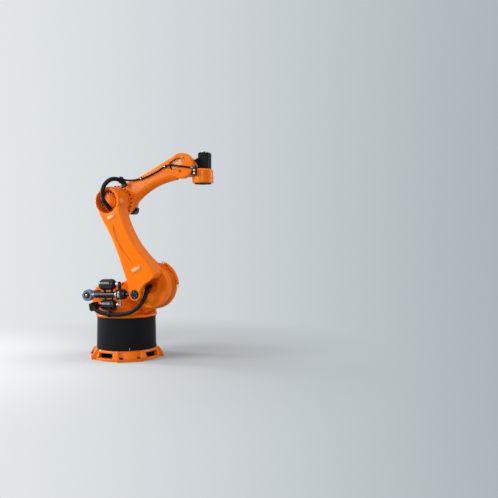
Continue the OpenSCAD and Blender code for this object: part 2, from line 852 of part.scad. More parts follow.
// A gas accumulator lying along the cylinder
module accumulator(rise) {
    at_balancer() translate([accumulator_at, 0, rise]) {
        bar(accumulator_r, accumulator_r, accumulator_len - accumulator_r);
        translate([accumulator_r, 0, 0]) sphere(r = accumulator_r, $fn = round_n);
        translate([accumulator_len - accumulator_r, 0, 0]) sphere(r = accumulator_r, $fn = round_n);
    }
}

module accumulator_upper() {
    color(black) accumulator(accumulator_rise);
}

module accumulator_lower() {
    color(black) accumulator(-accumulator_rise);
}

// A valve at the end of an accumulator and its pipe to the manifold
module valve(rise, seat) {
    start = accumulator_at + accumulator_len;
    translate([0, 0, rise]) {
        bar(valve_r, start, start + valve_len);
        translate([start + valve_len, 0, 0]) rotate([0, 90, 0]) cylinder(h = valve_len, r = nut_r, $fn = 6);
    }
    translate([pipe_at, 0, min(rise, seat)]) cylinder(h = abs(rise - seat), r = pipe_r, $fn = small_n);
}

module accumulator_valves() {
    color(chrome) at_balancer() {
        valve(accumulator_rise, manifold_high);
        valve(-accumulator_rise, -manifold_low);
    }
}

module balancer_rod() {
    color(black) at_balancer() {
        bar(rod_r, rod_from, balancer_len);
        bar(rod_boss_r, balancer_len - rod_boss_back, balancer_len - rod_boss_back + rod_boss_len);
        translate([balancer_len, 0, 0]) puck(rod_eye_r, -rod_eye_half, rod_eye_half, 5, 5);
    }
}

// Side outline of the plate that reaches down to the balancer pin
module ear_outline() {
    polygon([
        [-168, 180], [-178, 110], [-206, 0], [pin_s - ear_r, pin_t], [pin_s, pin_t],
        [pin_s + ear_r, pin_t], [0, -20], [180, 20], [240, 60], [240, 180]
    ]);
    translate([pin_s, pin_t]) circle(r = ear_r, $fn = round_n);
}

// Side outline of the arch under the link arm
module arch_outline() {
    polygon(concat(filled(arch_line, 3), [[2 * hub_r, -2 * hub_r], [arch_line[0][0], -2 * hub_r]]));
}

// Spear-shaped hollow on the outer face of the link arm
module link_hollow() {
    skin([for (row = filled(hollow_rows, 4)) [for (a = [0 : 30 : 330])
        [row[1] + row[2] * cos(a), link_outer_y + row[3] * sin(a), row[0] * link_len]]]);
}

module link_arm() {
    plate_y = link_outer_y + ear_t;
    color(orange) at_link() difference() {
        union() {
            skin([for (row = filled(link_stations, 4))
                [for (p = rounded(row[1], row[2], row[3], row[4], radii(row))) [p[0], p[1], row[0]]]]);
            translate([0, 0, link_len]) turned_body(head_profile);
            puck(hub_r, hub_near_y, housing_near_y - axis_gap, hub_edge, 4);
            disc(shoulder_r, hub_near_y, spigot_end_y);
            side_plate(link_outer_y, plate_y) ear_outline();
            for (row = pad_rows) {
                translate([row[1] - row[2] / 2, link_outer_y - pad_rise, row[0] * link_len])
                    cube([row[2], 2 * pad_rise, row[3]]);
            }
        }
        // Room for the rod end and the hose between the ear plate and the hub
        translate([-2 * hub_r, plate_y, -2 * hub_r])
            cube([2 * hub_r + cavity_front, cavity_far_y - plate_y, 2 * hub_r + cavity_top]);
        side_plate(link_outer_y - eps, cavity_far_y) arch_outline();
        // Dish of the hub and the way in for the hose
        translate([0, hub_near_y - eps, 0]) rotate([-90, 0, 0])
            cylinder(h = dish_depth, r1 = hub_r - dish_edge, r2 = dish_r, $fn = round_n);
        disc(dish_hole_r, hub_near_y, dish_hole_y);
        translate([pin_s, 0, pin_t]) disc(pin_r, link_outer_y - eps, plate_y + eps);
        // Open head with room for the elbow cover, and the bearing of the forearm
        translate([head_shift, 0, link_len])
            disc(link_head_r - head_wall, link_outer_y - eps, link_outer_y + head_depth);
        translate([0, 0, link_len])
            disc(elbow_r + run_gap, link_inner_y - elbow_bore_len, link_inner_y + eps);
        link_hollow();
    }
}

module balancer_pin() {
    color(steel) at_link() translate([pin_s, 0, pin_t])
        puck(pin_r, link_outer_y - pin_head_t, link_outer_y + ear_t, 4, eps);
}

module elbow_cover() {
    floor_y = link_outer_y + head_depth;
    color(orange) at_link() translate([head_shift, 0, link_len]) {
        puck(link_head_r - head_wall - cover_gap, floor_y - cover_t, floor_y, 5, eps);
        puck(cover_cap_r, floor_y - cover_t - cover_cap_t, floor_y - cover_t, 12, eps);
    }
}

// Oval outline on the near cheek
module oval(r) {
    translate([forearm_len + oval_a, oval_b]) circle(r = r, $fn = round_n);
    translate([forearm_len + oval_a + oval_len, oval_b]) circle(r = r, $fn = round_n);
    translate([forearm_len + oval_a, oval_b - r]) square([oval_len, 2 * r]);
}

module elbow_motor_body() {
    translate([motor_bulge_a, 0, motor_bulge_b]) disc(motor_bulge_r, motor_bulge_near_y, motor_bulge_far_y);
    translate([motor_bulge_a + 14, motor_bulge_near_y + eps, motor_bulge_b - 14])
        rotate([0, 30, 0]) cube(plug_size);
}

module forearm() {
    color(orange) at_forearm() difference() {
        union() {
            skin([for (row = filled(forearm_stations, 4))
                [for (p = rounded(row[3], row[4], row[1], row[2], radii(row), 0.45)) [row[0], p[0], p[1]]]]);
            turned_body(root_profile);
            puck(root_lip_r, 0, root_far_y + root_lip_t, eps, 8);
            translate([forearm_len, 0, 0]) {
                puck(cheek_r, forearm_near_y, -fork_half, cheek_edge, eps);
                puck(far_cheek_r, fork_half, forearm_far_y, eps, cheek_edge);
            }
        }
        // Round recess on the far side of the elbow
        disc(root_recess_r, root_far_y - root_recess_depth, forearm_far_y + eps);
        // Fork for the wrist, and its bearings
        translate([forearm_len - fork_back, -fork_half, -2 * cheek_r])
            cube([3 * cheek_r, 2 * fork_half, 4 * cheek_r]);
        translate([forearm_len, 0, 0])
            disc(shaft_r + run_gap, forearm_near_y + oval_depth, forearm_far_y + eps);
        // Oval recess and fixing holes of the near cheek
        side_plate(forearm_near_y - eps, forearm_near_y + oval_depth) oval(oval_r);
        for (h = cheek_holes) {
            translate([forearm_len + h[0], 0, h[1]])
                disc(h[2], forearm_near_y - eps, forearm_near_y + hole_depth);
        }
        elbow_motor_body();
    }
}

module elbow_flange() {
    color(orange) at_forearm() {
        puck(root_r - flange_step, link_inner_y + axis_gap, forearm_near_y, 6, eps);
        disc(elbow_r, link_inner_y - elbow_spigot_len, link_inner_y + axis_gap);
    }
}

module elbow_motor() {
    color(black) at_forearm() elbow_motor_body();
}

module hose_bracket() {
    color(black) at_forearm() translate([bracket_a, forearm_near_y - bracket_t, bracket_b]) {
        cube([bracket_w, bracket_t, bracket_h]);
        translate([0, -block_out, bracket_h - bracket_t / 2]) cube([block_w, block_out + bracket_t, block_h]);
    }
}

module cable_clips() {
    color(black) at_forearm() {
        for (p = clip_places) {
            translate([p[0], forearm_near_y - clip_size[1], p[1] - clip_size[2] / 2]) cube(clip_size);
        }
    }
}

module wrist_motor() {
    body_y = forearm_far_y + motor_rim_t;
    cap_y = body_y + wrist_motor_len;
    color(black) at_forearm() translate([forearm_len, 0, 0]) {
        puck(wrist_motor_r + 10, forearm_far_y, body_y, eps, 4);
        puck(wrist_motor_r, body_y, cap_y, eps, 8);
        puck(wrist_motor_r - 18, cap_y, cap_y + motor_cap_w, eps, 10);
    }
}

module wrist_cover() {
    color(pale) at_forearm()
        side_plate(forearm_near_y + oval_depth - cover_plate_t, forearm_near_y + oval_depth)
            oval(oval_r - cover_plate_gap);
}

module wrist() {
    drum_z = -flange_drop + flange_show;
    hub_half = fork_half - axis_gap - eps;
    color(orange) at_wrist() difference() {
        union() {
            puck(wrist_hub_r, -hub_half, hub_half, 10, 10);
            skin([for (row = filled(neck_rows, 3))
                [for (p = rounded(row[3], row[4], row[1], row[2], radii(row))) [row[0], p[0], p[1]]]]);
            translate([wrist_offset, 0, 0]) rotate_extrude($fn = round_n) polygon([
                [0, drum_z], [wrist_r - 8, drum_z], [wrist_r, drum_z + 8],
                [wrist_r, wrist_seam_z - seam_step], [wrist_r - seam_step, wrist_seam_z],
                [wrist_r - seam_step, wrist_top_z - 20], [wrist_r - 26, wrist_top_z], [0, wrist_top_z]
            ]);
        }
        translate([wrist_offset, 0, -flange_drop]) {
            cylinder(h = flange_shaft_h + 10, r = flange_shaft_r + run_gap, $fn = round_n);
            cylinder(h = flange_t2 + axis_gap, r = flange_r + axis_gap, $fn = round_n);
        }
        // Seat of the flange motor
        translate([wrist_offset - motor_seat_back, -2 * wrist_r, wrist_top_z]) cube(4 * wrist_r);
        // Room beside the cheeks
        disc(cheek_r + cheek_clear, fork_half - axis_gap, 2 * fork_half);
        disc(cheek_r + cheek_clear, -2 * fork_half, -fork_half + axis_gap);
    }
}

module wrist_shaft() {
    color(steel) at_wrist() {
        disc(shaft_r, -fork_half - shaft_near, -fork_half + axis_gap + eps);
        disc(shaft_r, fork_half - axis_gap - eps, fork_half + shaft_far);
    }
}

module flange_motor() {
    half = flange_motor_half;
    r = [flange_motor_r, flange_motor_r, flange_motor_r, flange_motor_r];
    in = half - flange_motor_inset;
    top = flange_motor_h + flange_motor_top;
    rings = [[half, flange_motor_h], [half - 4, flange_motor_h + flange_motor_top / 2], [in, top]];
    color(black) at_wrist() translate([wrist_offset + flange_motor_x, flange_motor_y, wrist_top_z]) {
        linear_extrude(height = flange_motor_h) polygon(rounded(-half, half, -half, half, r));
        skin([for (ring = rings)
            [for (p = rounded(-ring[0], ring[0], -ring[0], ring[0], r)) [p[0], p[1], ring[1]]]]);
        cylinder(h = top + knob_h, r = knob_r, $fn = small_n);
    }
}

module motor_plug() {
    plug_x = wrist_offset + flange_motor_x - flange_motor_half;
    color(black) at_wrist() {
        translate([plug_x - plug_low[0], flange_motor_y - plug_low[1] / 2, plug_low_z]) cube(plug_low);
        translate([plug_x - plug_high[0], flange_motor_y - plug_high[1] / 2, plug_high_z]) cube(plug_high);
    }
}

module wrist_connector() {
    color(black) at_wrist() difference() {
        translate([connector_x, connector_y, connector_z]) cube(connector_size);
        translate([wrist_offset, 0, -flange_drop])
            cylinder(h = flange_drop, r = wrist_r - seam_step, $fn = round_n);
        translate([0, -fork_half, -flange_drop]) cube([wrist_offset + eps, 2 * fork_half, flange_drop]);
        disc(cheek_r + cheek_clear, -2 * fork_half, -fork_half);
    }
}

module tool_flange() {
    color(black) at_wrist() translate([wrist_offset, 0, -flange_drop]) difference() {
        union() {
            cylinder(h = flange_t2, r = flange_r, $fn = round_n);
            cylinder(h = flange_shaft_h, r = flange_shaft_r, $fn = round_n);
        }
        translate([0, 0, -eps]) cylinder(h = flange_bore_depth + eps, d = flange_bore_d, $fn = round_n);
        for (a = [0 : 60 : 300]) {
            rotate([0, 0, a]) translate([flange_pcd / 2, 0, -eps])
                cylinder(h = flange_t2 + 2 * eps, d = flange_hole_d, $fn = small_n);
        }
    }
}

module lower_hose() {
    color(black) turned() tube_along(lower_route, lower_hose_d, 3, 12);
}

module upper_hose() {
    color(black) turned() tube_along(upper_route, upper_hose_d, 3, 12);
}

module wrist_cable() {
    color(black) at_forearm() tube_along(cable_route, cable_d, 2, 8);
}

base_foot();
foot_core();
base_drum();
turntable_ring();
turntable();
column_casting();
shoulder_motor();
trunnion_pin();
stop_bracket();
stop_buffers();
hose_box();
hose_clamp();
rim_caps();
balancer_eye();
balancer_tube();
balancer_manifold();
accumulator_upper();
accumulator_lower();
accumulator_valves();
balancer_rod();
link_arm();
balancer_pin();
elbow_cover();
forearm();
elbow_flange();
elbow_motor();
hose_bracket();
cable_clips();
wrist_motor();
wrist_cover();
wrist();
wrist_shaft();
flange_motor();
motor_plug();
wrist_connector();
tool_flange();
lower_hose();
upper_hose();
wrist_cable();
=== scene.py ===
"""Dresses a floor-standing palletizing robot arm and sets it in a plain studio."""

import json
import logging
import math
from collections.abc import Callable, Iterable
from dataclasses import dataclass, field
from enum import Enum
from typing import Any

import bmesh
import bpy
from mathutils import Matrix, Vector

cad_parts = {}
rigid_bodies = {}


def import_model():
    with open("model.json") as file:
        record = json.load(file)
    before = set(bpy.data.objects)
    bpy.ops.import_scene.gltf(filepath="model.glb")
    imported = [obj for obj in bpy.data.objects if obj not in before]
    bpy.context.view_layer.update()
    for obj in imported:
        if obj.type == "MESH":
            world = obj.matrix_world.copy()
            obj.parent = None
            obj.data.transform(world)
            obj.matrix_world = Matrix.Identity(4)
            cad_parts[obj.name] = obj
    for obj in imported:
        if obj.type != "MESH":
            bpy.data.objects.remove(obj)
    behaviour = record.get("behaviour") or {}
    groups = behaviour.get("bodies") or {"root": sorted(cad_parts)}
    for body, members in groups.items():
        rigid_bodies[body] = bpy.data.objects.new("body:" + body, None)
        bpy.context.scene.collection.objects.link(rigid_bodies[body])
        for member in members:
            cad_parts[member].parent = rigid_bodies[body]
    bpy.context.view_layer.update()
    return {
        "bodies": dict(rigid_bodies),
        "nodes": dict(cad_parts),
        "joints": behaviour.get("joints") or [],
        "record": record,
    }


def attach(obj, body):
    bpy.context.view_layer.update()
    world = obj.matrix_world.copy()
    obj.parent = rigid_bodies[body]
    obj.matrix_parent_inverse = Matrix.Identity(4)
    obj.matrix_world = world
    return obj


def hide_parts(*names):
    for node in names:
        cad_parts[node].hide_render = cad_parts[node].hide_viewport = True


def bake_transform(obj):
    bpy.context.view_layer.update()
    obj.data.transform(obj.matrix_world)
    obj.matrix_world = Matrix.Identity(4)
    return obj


MM = 0.001
log = logging.getLogger("robot_arm")

Point = tuple[float, float, float]
Test = Callable[[Vector, Vector], bool]

# Directions in a group's frame: X runs ahead or along the group, Y to the far side and Z up
NEAR: Point = (0.0, -1.0, 0.0)
FAR: Point = (0.0, 1.0, 0.0)
UP: Point = (0.0, 0.0, 1.0)
AHEAD: Point = (1.0, 0.0, 0.0)
BACK: Point = (-1.0, 0.0, 0.0)
# Turns a piece that lies flat so that its top faces the near side
ON_EDGE = Matrix.Rotation(math.radians(90), 4, "X")
RELIEF_STRENGTH = 0.4
# Angles in degrees below which edges are shaded smooth
SMOOTH = 35.0
HOSE_SMOOTH = 60.0


class Slot(Enum):
    """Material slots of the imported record."""

    ORANGE = "orange_paint"
    BLACK = "black_paint"
    STEEL = "steel"
    CHROME = "chrome"
    RUBBER = "rubber"
    PLASTIC = "black_plastic"
    MACHINED = "machined_metal"
    WHITE = "white_plastic"
    YELLOW = "yellow_plastic"


class Look(Enum):
    """Finishes that the pieces take."""

    ORANGE = "orange enamel"
    PALE = "pale enamel"
    POWDER = "black powder coat"
    BLACK = "black enamel"
    STEEL = "steel"
    CHROME = "zinc"
    RUBBER = "rubber"
    PLASTIC = "nylon"
    WHITE = "polyurethane"
    YELLOW = "polyethylene"


class Head(Enum):
    """Shapes of a screw head."""

    SOCKET = "socket"
    HEX = "hex"


def linear(hex_colour: str) -> tuple[float, float, float, float]:
    """Turns an sRGB hex colour to linear light.

    Args:
        hex_colour: Six hex digits after a hash sign.

    Returns:
        Red, green, blue and an alpha of one.
    """
    channels = [int(hex_colour[i : i + 2], 16) / 255 for i in (1, 3, 5)]
    return (*[c / 12.92 if c <= 0.04045 else ((c + 0.055) / 1.055) ** 2.4 for c in channels], 1.0)


def add_node(
    tree: bpy.types.NodeTree,
    kind: str,
    inputs: dict[str | int, Any] | None = None,
    **settings: Any,
) -> bpy.types.Node:
    """Adds a shader node with its settings and links.

    Args:
        tree: Node tree of the material.
        kind: Type name of the node.
        inputs: Values or output sockets for its inputs, by name or index.
        settings: Properties of the node.

    Returns:
        The new node.
    """
    node = tree.nodes.new(kind)
    for key, value in settings.items():
        setattr(node, key, value)
    for key, value in (inputs or {}).items():
        if isinstance(value, bpy.types.NodeSocket):
            tree.links.new(value, node.inputs[key])
        else:
            node.inputs[key].default_value = value
    return node


def new_material(name: str) -> tuple[bpy.types.Material, bpy.types.NodeTree, bpy.types.Node]:
    """Starts a node material.

    Args:
        name: Name of the material.

    Returns:
        The material, its node tree and its principled shader.
    """
    material = bpy.data.materials.new(name)
    material.use_nodes = True
    return material, material.node_tree, material.node_tree.nodes["Principled BSDF"]


@dataclass(frozen=True)
class Finish:
    """A surface of two close colours, with an uneven shine and a fine relief."""

    name: str
    slot: Slot
    colour: str
    shade: str
    roughness: tuple[float, float]

    def surface(
        self,
        tree: bpy.types.NodeTree,
        shader: bpy.types.Node,
        tone: bpy.types.NodeSocket,
        shine: bpy.types.NodeSocket,
        relief: bpy.types.NodeSocket,
        depth_mm: float,
    ) -> bpy.types.Node:
        """Gives a shader the colours, the shine and the relief.

        Args:
            tree: Node tree of the material.
            shader: Its principled shader.
            tone: Share of the second colour.
            shine: Share of the higher roughness.
            relief: Height of the relief, from nought to one.
            depth_mm: Depth of the relief in millimetres.

        Returns:
            The bump node.
        """
        colour = add_node(
            tree, "ShaderNodeMix", {0: tone, 6: linear(self.colour), 7: linear(self.shade)}, data_type="RGBA"
        )
        low, high = self.roughness
        rough = add_node(tree, "ShaderNodeMapRange", {"Value": shine, "To Min": low, "To Max": high})
        bump = add_node(
            tree, "ShaderNodeBump", {"Height": relief, "Distance": depth_mm * MM, "Strength": RELIEF_STRENGTH}
        )
        tree.links.new(colour.outputs[2], shader.inputs["Base Color"])
        tree.links.new(rough.outputs["Result"], shader.inputs["Roughness"])
        tree.links.new(bump.outputs["Normal"], shader.inputs["Normal"])
        return bump


@dataclass(frozen=True)
class Paint(Finish):
    """Enamel or powder coat on a casting: faintly clouded, with a soft peel."""

    gloss: float = 0.25
    cloud_mm: float = 420.0
    # Part of the cloud noise over which the first colour goes to the second
    cloud_range: tuple[float, float] = (0.35, 0.7)
    # A real peel is about 3 mm; it is drawn coarser so that it shows
    peel_mm: float = 14.0
    peel_depth_mm: float = 0.12
    # Radius of the cast edges, or nought on turned pieces, which keep clear reflections
    edge_mm: float = 7.0
    edge_samples: int = 6
    ior: float = 1.5

    def material(self) -> bpy.types.Material:
        """Returns the paint as a node material."""
        material, tree, shader = new_material(self.name)
        place = add_node(tree, "ShaderNodeTexCoord").outputs["Object"]
        clouds = add_node(
            tree, "ShaderNodeTexNoise", {"Vector": place, "Scale": 1 / (self.cloud_mm * MM), "Detail": 4.0}
        ).outputs["Fac"]
        low, high = self.cloud_range
        tone = add_node(tree, "ShaderNodeMapRange", {"Value": clouds, "From Min": low, "From Max": high})
        peel = add_node(
            tree, "ShaderNodeTexNoise", {"Vector": place, "Scale": 1 / (self.peel_mm * MM), "Detail": 2.0}
        )
        bump = self.surface(
            tree, shader, tone.outputs["Result"], clouds, peel.outputs["Fac"], self.peel_depth_mm
        )
        if self.edge_mm > 0:
            edge = add_node(
                tree, "ShaderNodeBevel", {"Radius": self.edge_mm * MM}, samples=self.edge_samples
            )
            tree.links.new(edge.outputs["Normal"], bump.inputs["Normal"])
        shader.inputs["IOR"].default_value = self.ior
        shader.inputs["Specular IOR Level"].default_value = self.gloss
        return material


@dataclass(frozen=True)
class Metal(Finish):
    """Bare machined metal: tool marks run across it and break up its reflections."""

    # Feed marks of a cutter; drawn coarser than the real 0.3 mm so that they show
    mark_mm: float = 5.0
    mark_depth_mm: float = 0.05
    stretch: Point = (0.12, 1.0, 1.0)

    def material(self) -> bpy.types.Material:
        """Returns the metal as a node material."""
        material, tree, shader = new_material(self.name)
        place = add_node(tree, "ShaderNodeTexCoord").outputs["Object"]
        drawn = add_node(tree, "ShaderNodeMapping", {"Vector": place, "Scale": self.stretch})
        marks = add_node(
            tree,
            "ShaderNodeTexNoise",
            {"Vector": drawn.outputs["Vector"], "Scale": 1 / (self.mark_mm * MM), "Detail": 3.0},
        ).outputs["Fac"]
        self.surface(tree, shader, marks, marks, marks, self.mark_depth_mm)
        shader.inputs["Metallic"].default_value = 1.0
        return material


@dataclass(frozen=True)
class Polymer(Finish):
    """Moulded plastic or rubber: an even colour with a fine grain that dulls its shine."""

    gloss: float = 0.3
    # A moulded grain is about 0.5 mm; it is drawn coarser so that it shows
    grain_mm: float = 6.0
    grain_depth_mm: float = 0.12
    scuff_mm: float = 90.0
    ior: float = 1.47

    def material(self) -> bpy.types.Material:
        """Returns the polymer as a node material."""
        material, tree, shader = new_material(self.name)
        place = add_node(tree, "ShaderNodeTexCoord").outputs["Object"]
        grain = add_node(tree, "ShaderNodeTexVoronoi", {"Vector": place, "Scale": 1 / (self.grain_mm * MM)})
        scuffs = add_node(
            tree, "ShaderNodeTexNoise", {"Vector": place, "Scale": 1 / (self.scuff_mm * MM), "Detail": 5.0}
        ).outputs["Fac"]
        self.surface(tree, shader, scuffs, scuffs, grain.outputs["Distance"], self.grain_depth_mm)
        shader.inputs["IOR"].default_value = self.ior
        shader.inputs["Specular IOR Level"].default_value = self.gloss
        return material


FINISHES: dict[Look, Paint | Metal | Polymer] = {
    # Orange machine enamel: deep and even, with long soft highlights
    Look.ORANGE: Paint(
        "orange_machine_enamel", Slot.ORANGE, "#EE7408", "#E76C06", (0.18, 0.24),
        gloss=0.12, peel_depth_mm=0.03, edge_mm=32.0,
    ),
    # The same enamel thinned to a pale tint: flat and dull
    Look.PALE: Paint("pale_tinted_enamel", Slot.MACHINED, "#F0A66C", "#EA9C60", (0.4, 0.5)),
    # Powder coat on the rolled drum: near black, one wide soft sheen
    Look.POWDER: Paint(
        "black_powder_coat", Slot.BLACK, "#1A1B1D", "#17181A", (0.4, 0.46),
        gloss=0.04, peel_depth_mm=0.03, edge_mm=0.0,
    ),
    # Black gloss enamel on motors and cylinders: clear white highlights
    Look.BLACK: Paint(
        "black_gloss_enamel", Slot.BLACK, "#0C0D0E", "#0A0B0C", (0.24, 0.28),
        gloss=0.36, peel_depth_mm=0.01, edge_mm=0.0,
    ),
    # Ground steel: cool grey with fine tool marks
    Look.STEEL: Metal("ground_steel", Slot.STEEL, "#737D8A", "#606A76", (0.32, 0.46)),
    # Zinc-plated steel: pale and bright
    Look.CHROME: Metal("zinc_plated_steel", Slot.CHROME, "#B9BBBE", "#A2A4A7", (0.24, 0.36)),
    # Ribbed rubber hose: black, with a clear bright line along it
    Look.RUBBER: Polymer("hose_rubber", Slot.RUBBER, "#0D0E0F", "#121314", (0.24, 0.32), gloss=0.14),
    # Glass-filled nylon: black and slightly grained
    Look.PLASTIC: Polymer("glass_filled_nylon", Slot.PLASTIC, "#131416", "#18191B", (0.36, 0.46), gloss=0.14),
    # White polyurethane: chalky
    Look.WHITE: Polymer("white_polyurethane", Slot.WHITE, "#ECEAE4", "#DEDBD3", (0.45, 0.6)),
    # Yellow polyethylene cap: waxy
    Look.YELLOW: Polymer("yellow_polyethylene", Slot.YELLOW, "#EBC31A", "#DDB00E", (0.35, 0.5)),
}


def clear_selection() -> None:
    """Leaves edit mode and deselects everything."""
    if bpy.context.mode != "OBJECT":
        bpy.ops.object.mode_set(mode="OBJECT")
    bpy.ops.object.select_all(action="DESELECT")


def open_edit(piece: bpy.types.Object) -> None:
    """Opens a piece in edit mode with none of its faces selected."""
    bpy.context.view_layer.objects.active = piece
    bpy.ops.object.mode_set(mode="EDIT")
    bpy.ops.mesh.select_mode(type="FACE")
    bpy.ops.mesh.select_all(action="DESELECT")


def pick_faces(piece: bpy.types.Object, test: Test) -> None:
    """Selects faces of the piece in edit mode.

    Args:
        piece: The piece that is open in edit mode.
        test: Says from a face's centre, in millimetres, and its normal if it is picked.
    """
    mesh = bmesh.from_edit_mesh(piece.data)
    picked = [face for face in mesh.faces if test(face.calc_center_median() / MM, face.normal)]
    bpy.ops.mesh.select_all(action="DESELECT")
    for face in picked:
        face.select_set(True)
    bmesh.update_edit_mesh(piece.data)


def top_face(height: float, flat: float = 0.9, slack: float = 0.05) -> Test:
    """Returns a test for faces that lie flat at a height in millimetres."""
    return lambda centre, normal: normal.z > flat and abs(centre.z - height) < slack


@dataclass(frozen=True)
class Turned:
    """A plug, nut, union or boss that stands on z = 0, in millimetres."""

    radius: float
    height: float
    # Radius of the top edge
    edge: float
    sides: int = 24
    # Width of the rim that stays round the top, and how far the middle rises, or sinks where negative
    rim: float = 0.0
    rise: float = 0.0

    def build(self) -> bpy.types.Object:
        """Returns the piece in object mode, with its top edge rounded and its top stepped."""
        clear_selection()
        bpy.ops.mesh.primitive_cylinder_add(
            vertices=self.sides,
            radius=self.radius * MM,
            depth=self.height * MM,
            location=(0, 0, self.height / 2 * MM),
        )
        piece = bpy.context.object
        bpy.ops.object.transform_apply(location=True, rotation=True, scale=True)
        open_edit(piece)
        pick_faces(piece, top_face(self.height))
        bpy.ops.mesh.bevel(offset=self.edge * MM, segments=2, affect="EDGES")
        bpy.ops.object.mode_set(mode="OBJECT")
        if self.rim:
            open_edit(piece)
            pick_faces(piece, top_face(self.height))
            bpy.ops.mesh.inset(thickness=self.rim * MM)
            bpy.ops.mesh.extrude_region_move(TRANSFORM_OT_translate={"value": (0, 0, self.rise * MM)})
            bpy.ops.object.mode_set(mode="OBJECT")
        return piece


def bevelled_block(size: Point, edge: float) -> bpy.types.Object:
    """Starts a block that stands on z = 0, with all its edges rounded.

    Args:
        size: Its lengths along X, Y and Z in millimetres.
        edge: Radius of its edges in millimetres.

    Returns:
        The new piece in object mode.
    """
    clear_selection()
    bpy.ops.mesh.primitive_cube_add(size=1.0)
    piece = bpy.context.object
    piece.scale = Vector(size) * MM
    piece.location = (0, 0, size[2] / 2 * MM)
    bpy.ops.object.transform_apply(location=True, rotation=True, scale=True)
    open_edit(piece)
    bpy.ops.mesh.select_all(action="SELECT")
    bpy.ops.mesh.bevel(offset=edge * MM, segments=2, affect="EDGES")
    bpy.ops.object.mode_set(mode="OBJECT")
    return piece


def band(radius: float, width: float, thick: float, sides: int = 48) -> bpy.types.Object:
    """Starts an open band round the Z axis, with a wall and rounded rims.

    Args:
        radius: Outer radius in millimetres.
        width: Width along Z in millimetres.
        thick: Wall in millimetres.
        sides: Number of sides.

    Returns:
        The new piece in object mode.
    """
    clear_selection()
    bpy.ops.mesh.primitive_cylinder_add(
        vertices=sides, radius=radius * MM, depth=width * MM, end_fill_type="NOTHING"
    )
    piece = bpy.context.object
    rounding = thick * 0.3
    for kind, settings in (
        ("SOLIDIFY", {"thickness": thick * MM, "offset": -1.0}),
        ("BEVEL", {"width": rounding * MM, "segments": 2, "limit_method": "ANGLE"}),
    ):
        modifier = piece.modifiers.new(kind.title(), kind)
        for key, value in settings.items():
            setattr(modifier, key, value)
        bpy.ops.object.modifier_apply(modifier=modifier.name)
    return piece


def join_pieces(pieces: list[bpy.types.Object]) -> bpy.types.Object:
    """Joins pieces to the first one.

    Args:
        pieces: Mesh objects at the origin.

    Returns:
        The joined piece.
    """
    clear_selection()
    for piece in pieces:
        piece.select_set(True)
    bpy.context.view_layer.objects.active = pieces[0]
    if len(pieces) > 1:
        bpy.ops.object.join()
    return pieces[0]


def copies_at(pattern: bpy.types.Object, places: Iterable[Matrix]) -> bpy.types.Object:
    """Copies a pattern to each place, joins the copies and removes the pattern.

    Args:
        pattern: A piece that stands on z = 0 at the origin.
        places: Where the copies go.

    Returns:
        One piece with all copies.
    """
    copies = []
    for place in places:
        copy = pattern.copy()
        copy.data = pattern.data.copy()
        copy.data.transform(place)
        bpy.context.collection.objects.link(copy)
        copies.append(copy)
    bpy.data.objects.remove(pattern)
    return join_pieces(copies)


@dataclass(frozen=True)
class Screw:
    """A screw head that stands on z = 0 and points up, its sizes as shares of the thread."""

    thread: float
    head: Head = Head.SOCKET

    def build(self) -> bpy.types.Object:
        """Returns the head, with its socket or its washer."""
        d = self.thread
        if self.head is Head.SOCKET:
            cap = Turned(radius=0.75 * d, height=d, edge=0.1 * d, sides=18, rim=0.22 * d, rise=-0.55 * d)
            return cap.build()
        washer = Turned(radius=1.05 * d, height=0.2 * d, edge=0.05 * d).build()
        nut = Turned(radius=0.92 * d, height=0.75 * d, edge=0.09 * d, sides=6).build()
        # The nut sinks a little into its washer
        nut.data.transform(Matrix.Translation((0, 0, 0.18 * d * MM)))
        return join_pieces([washer, nut])


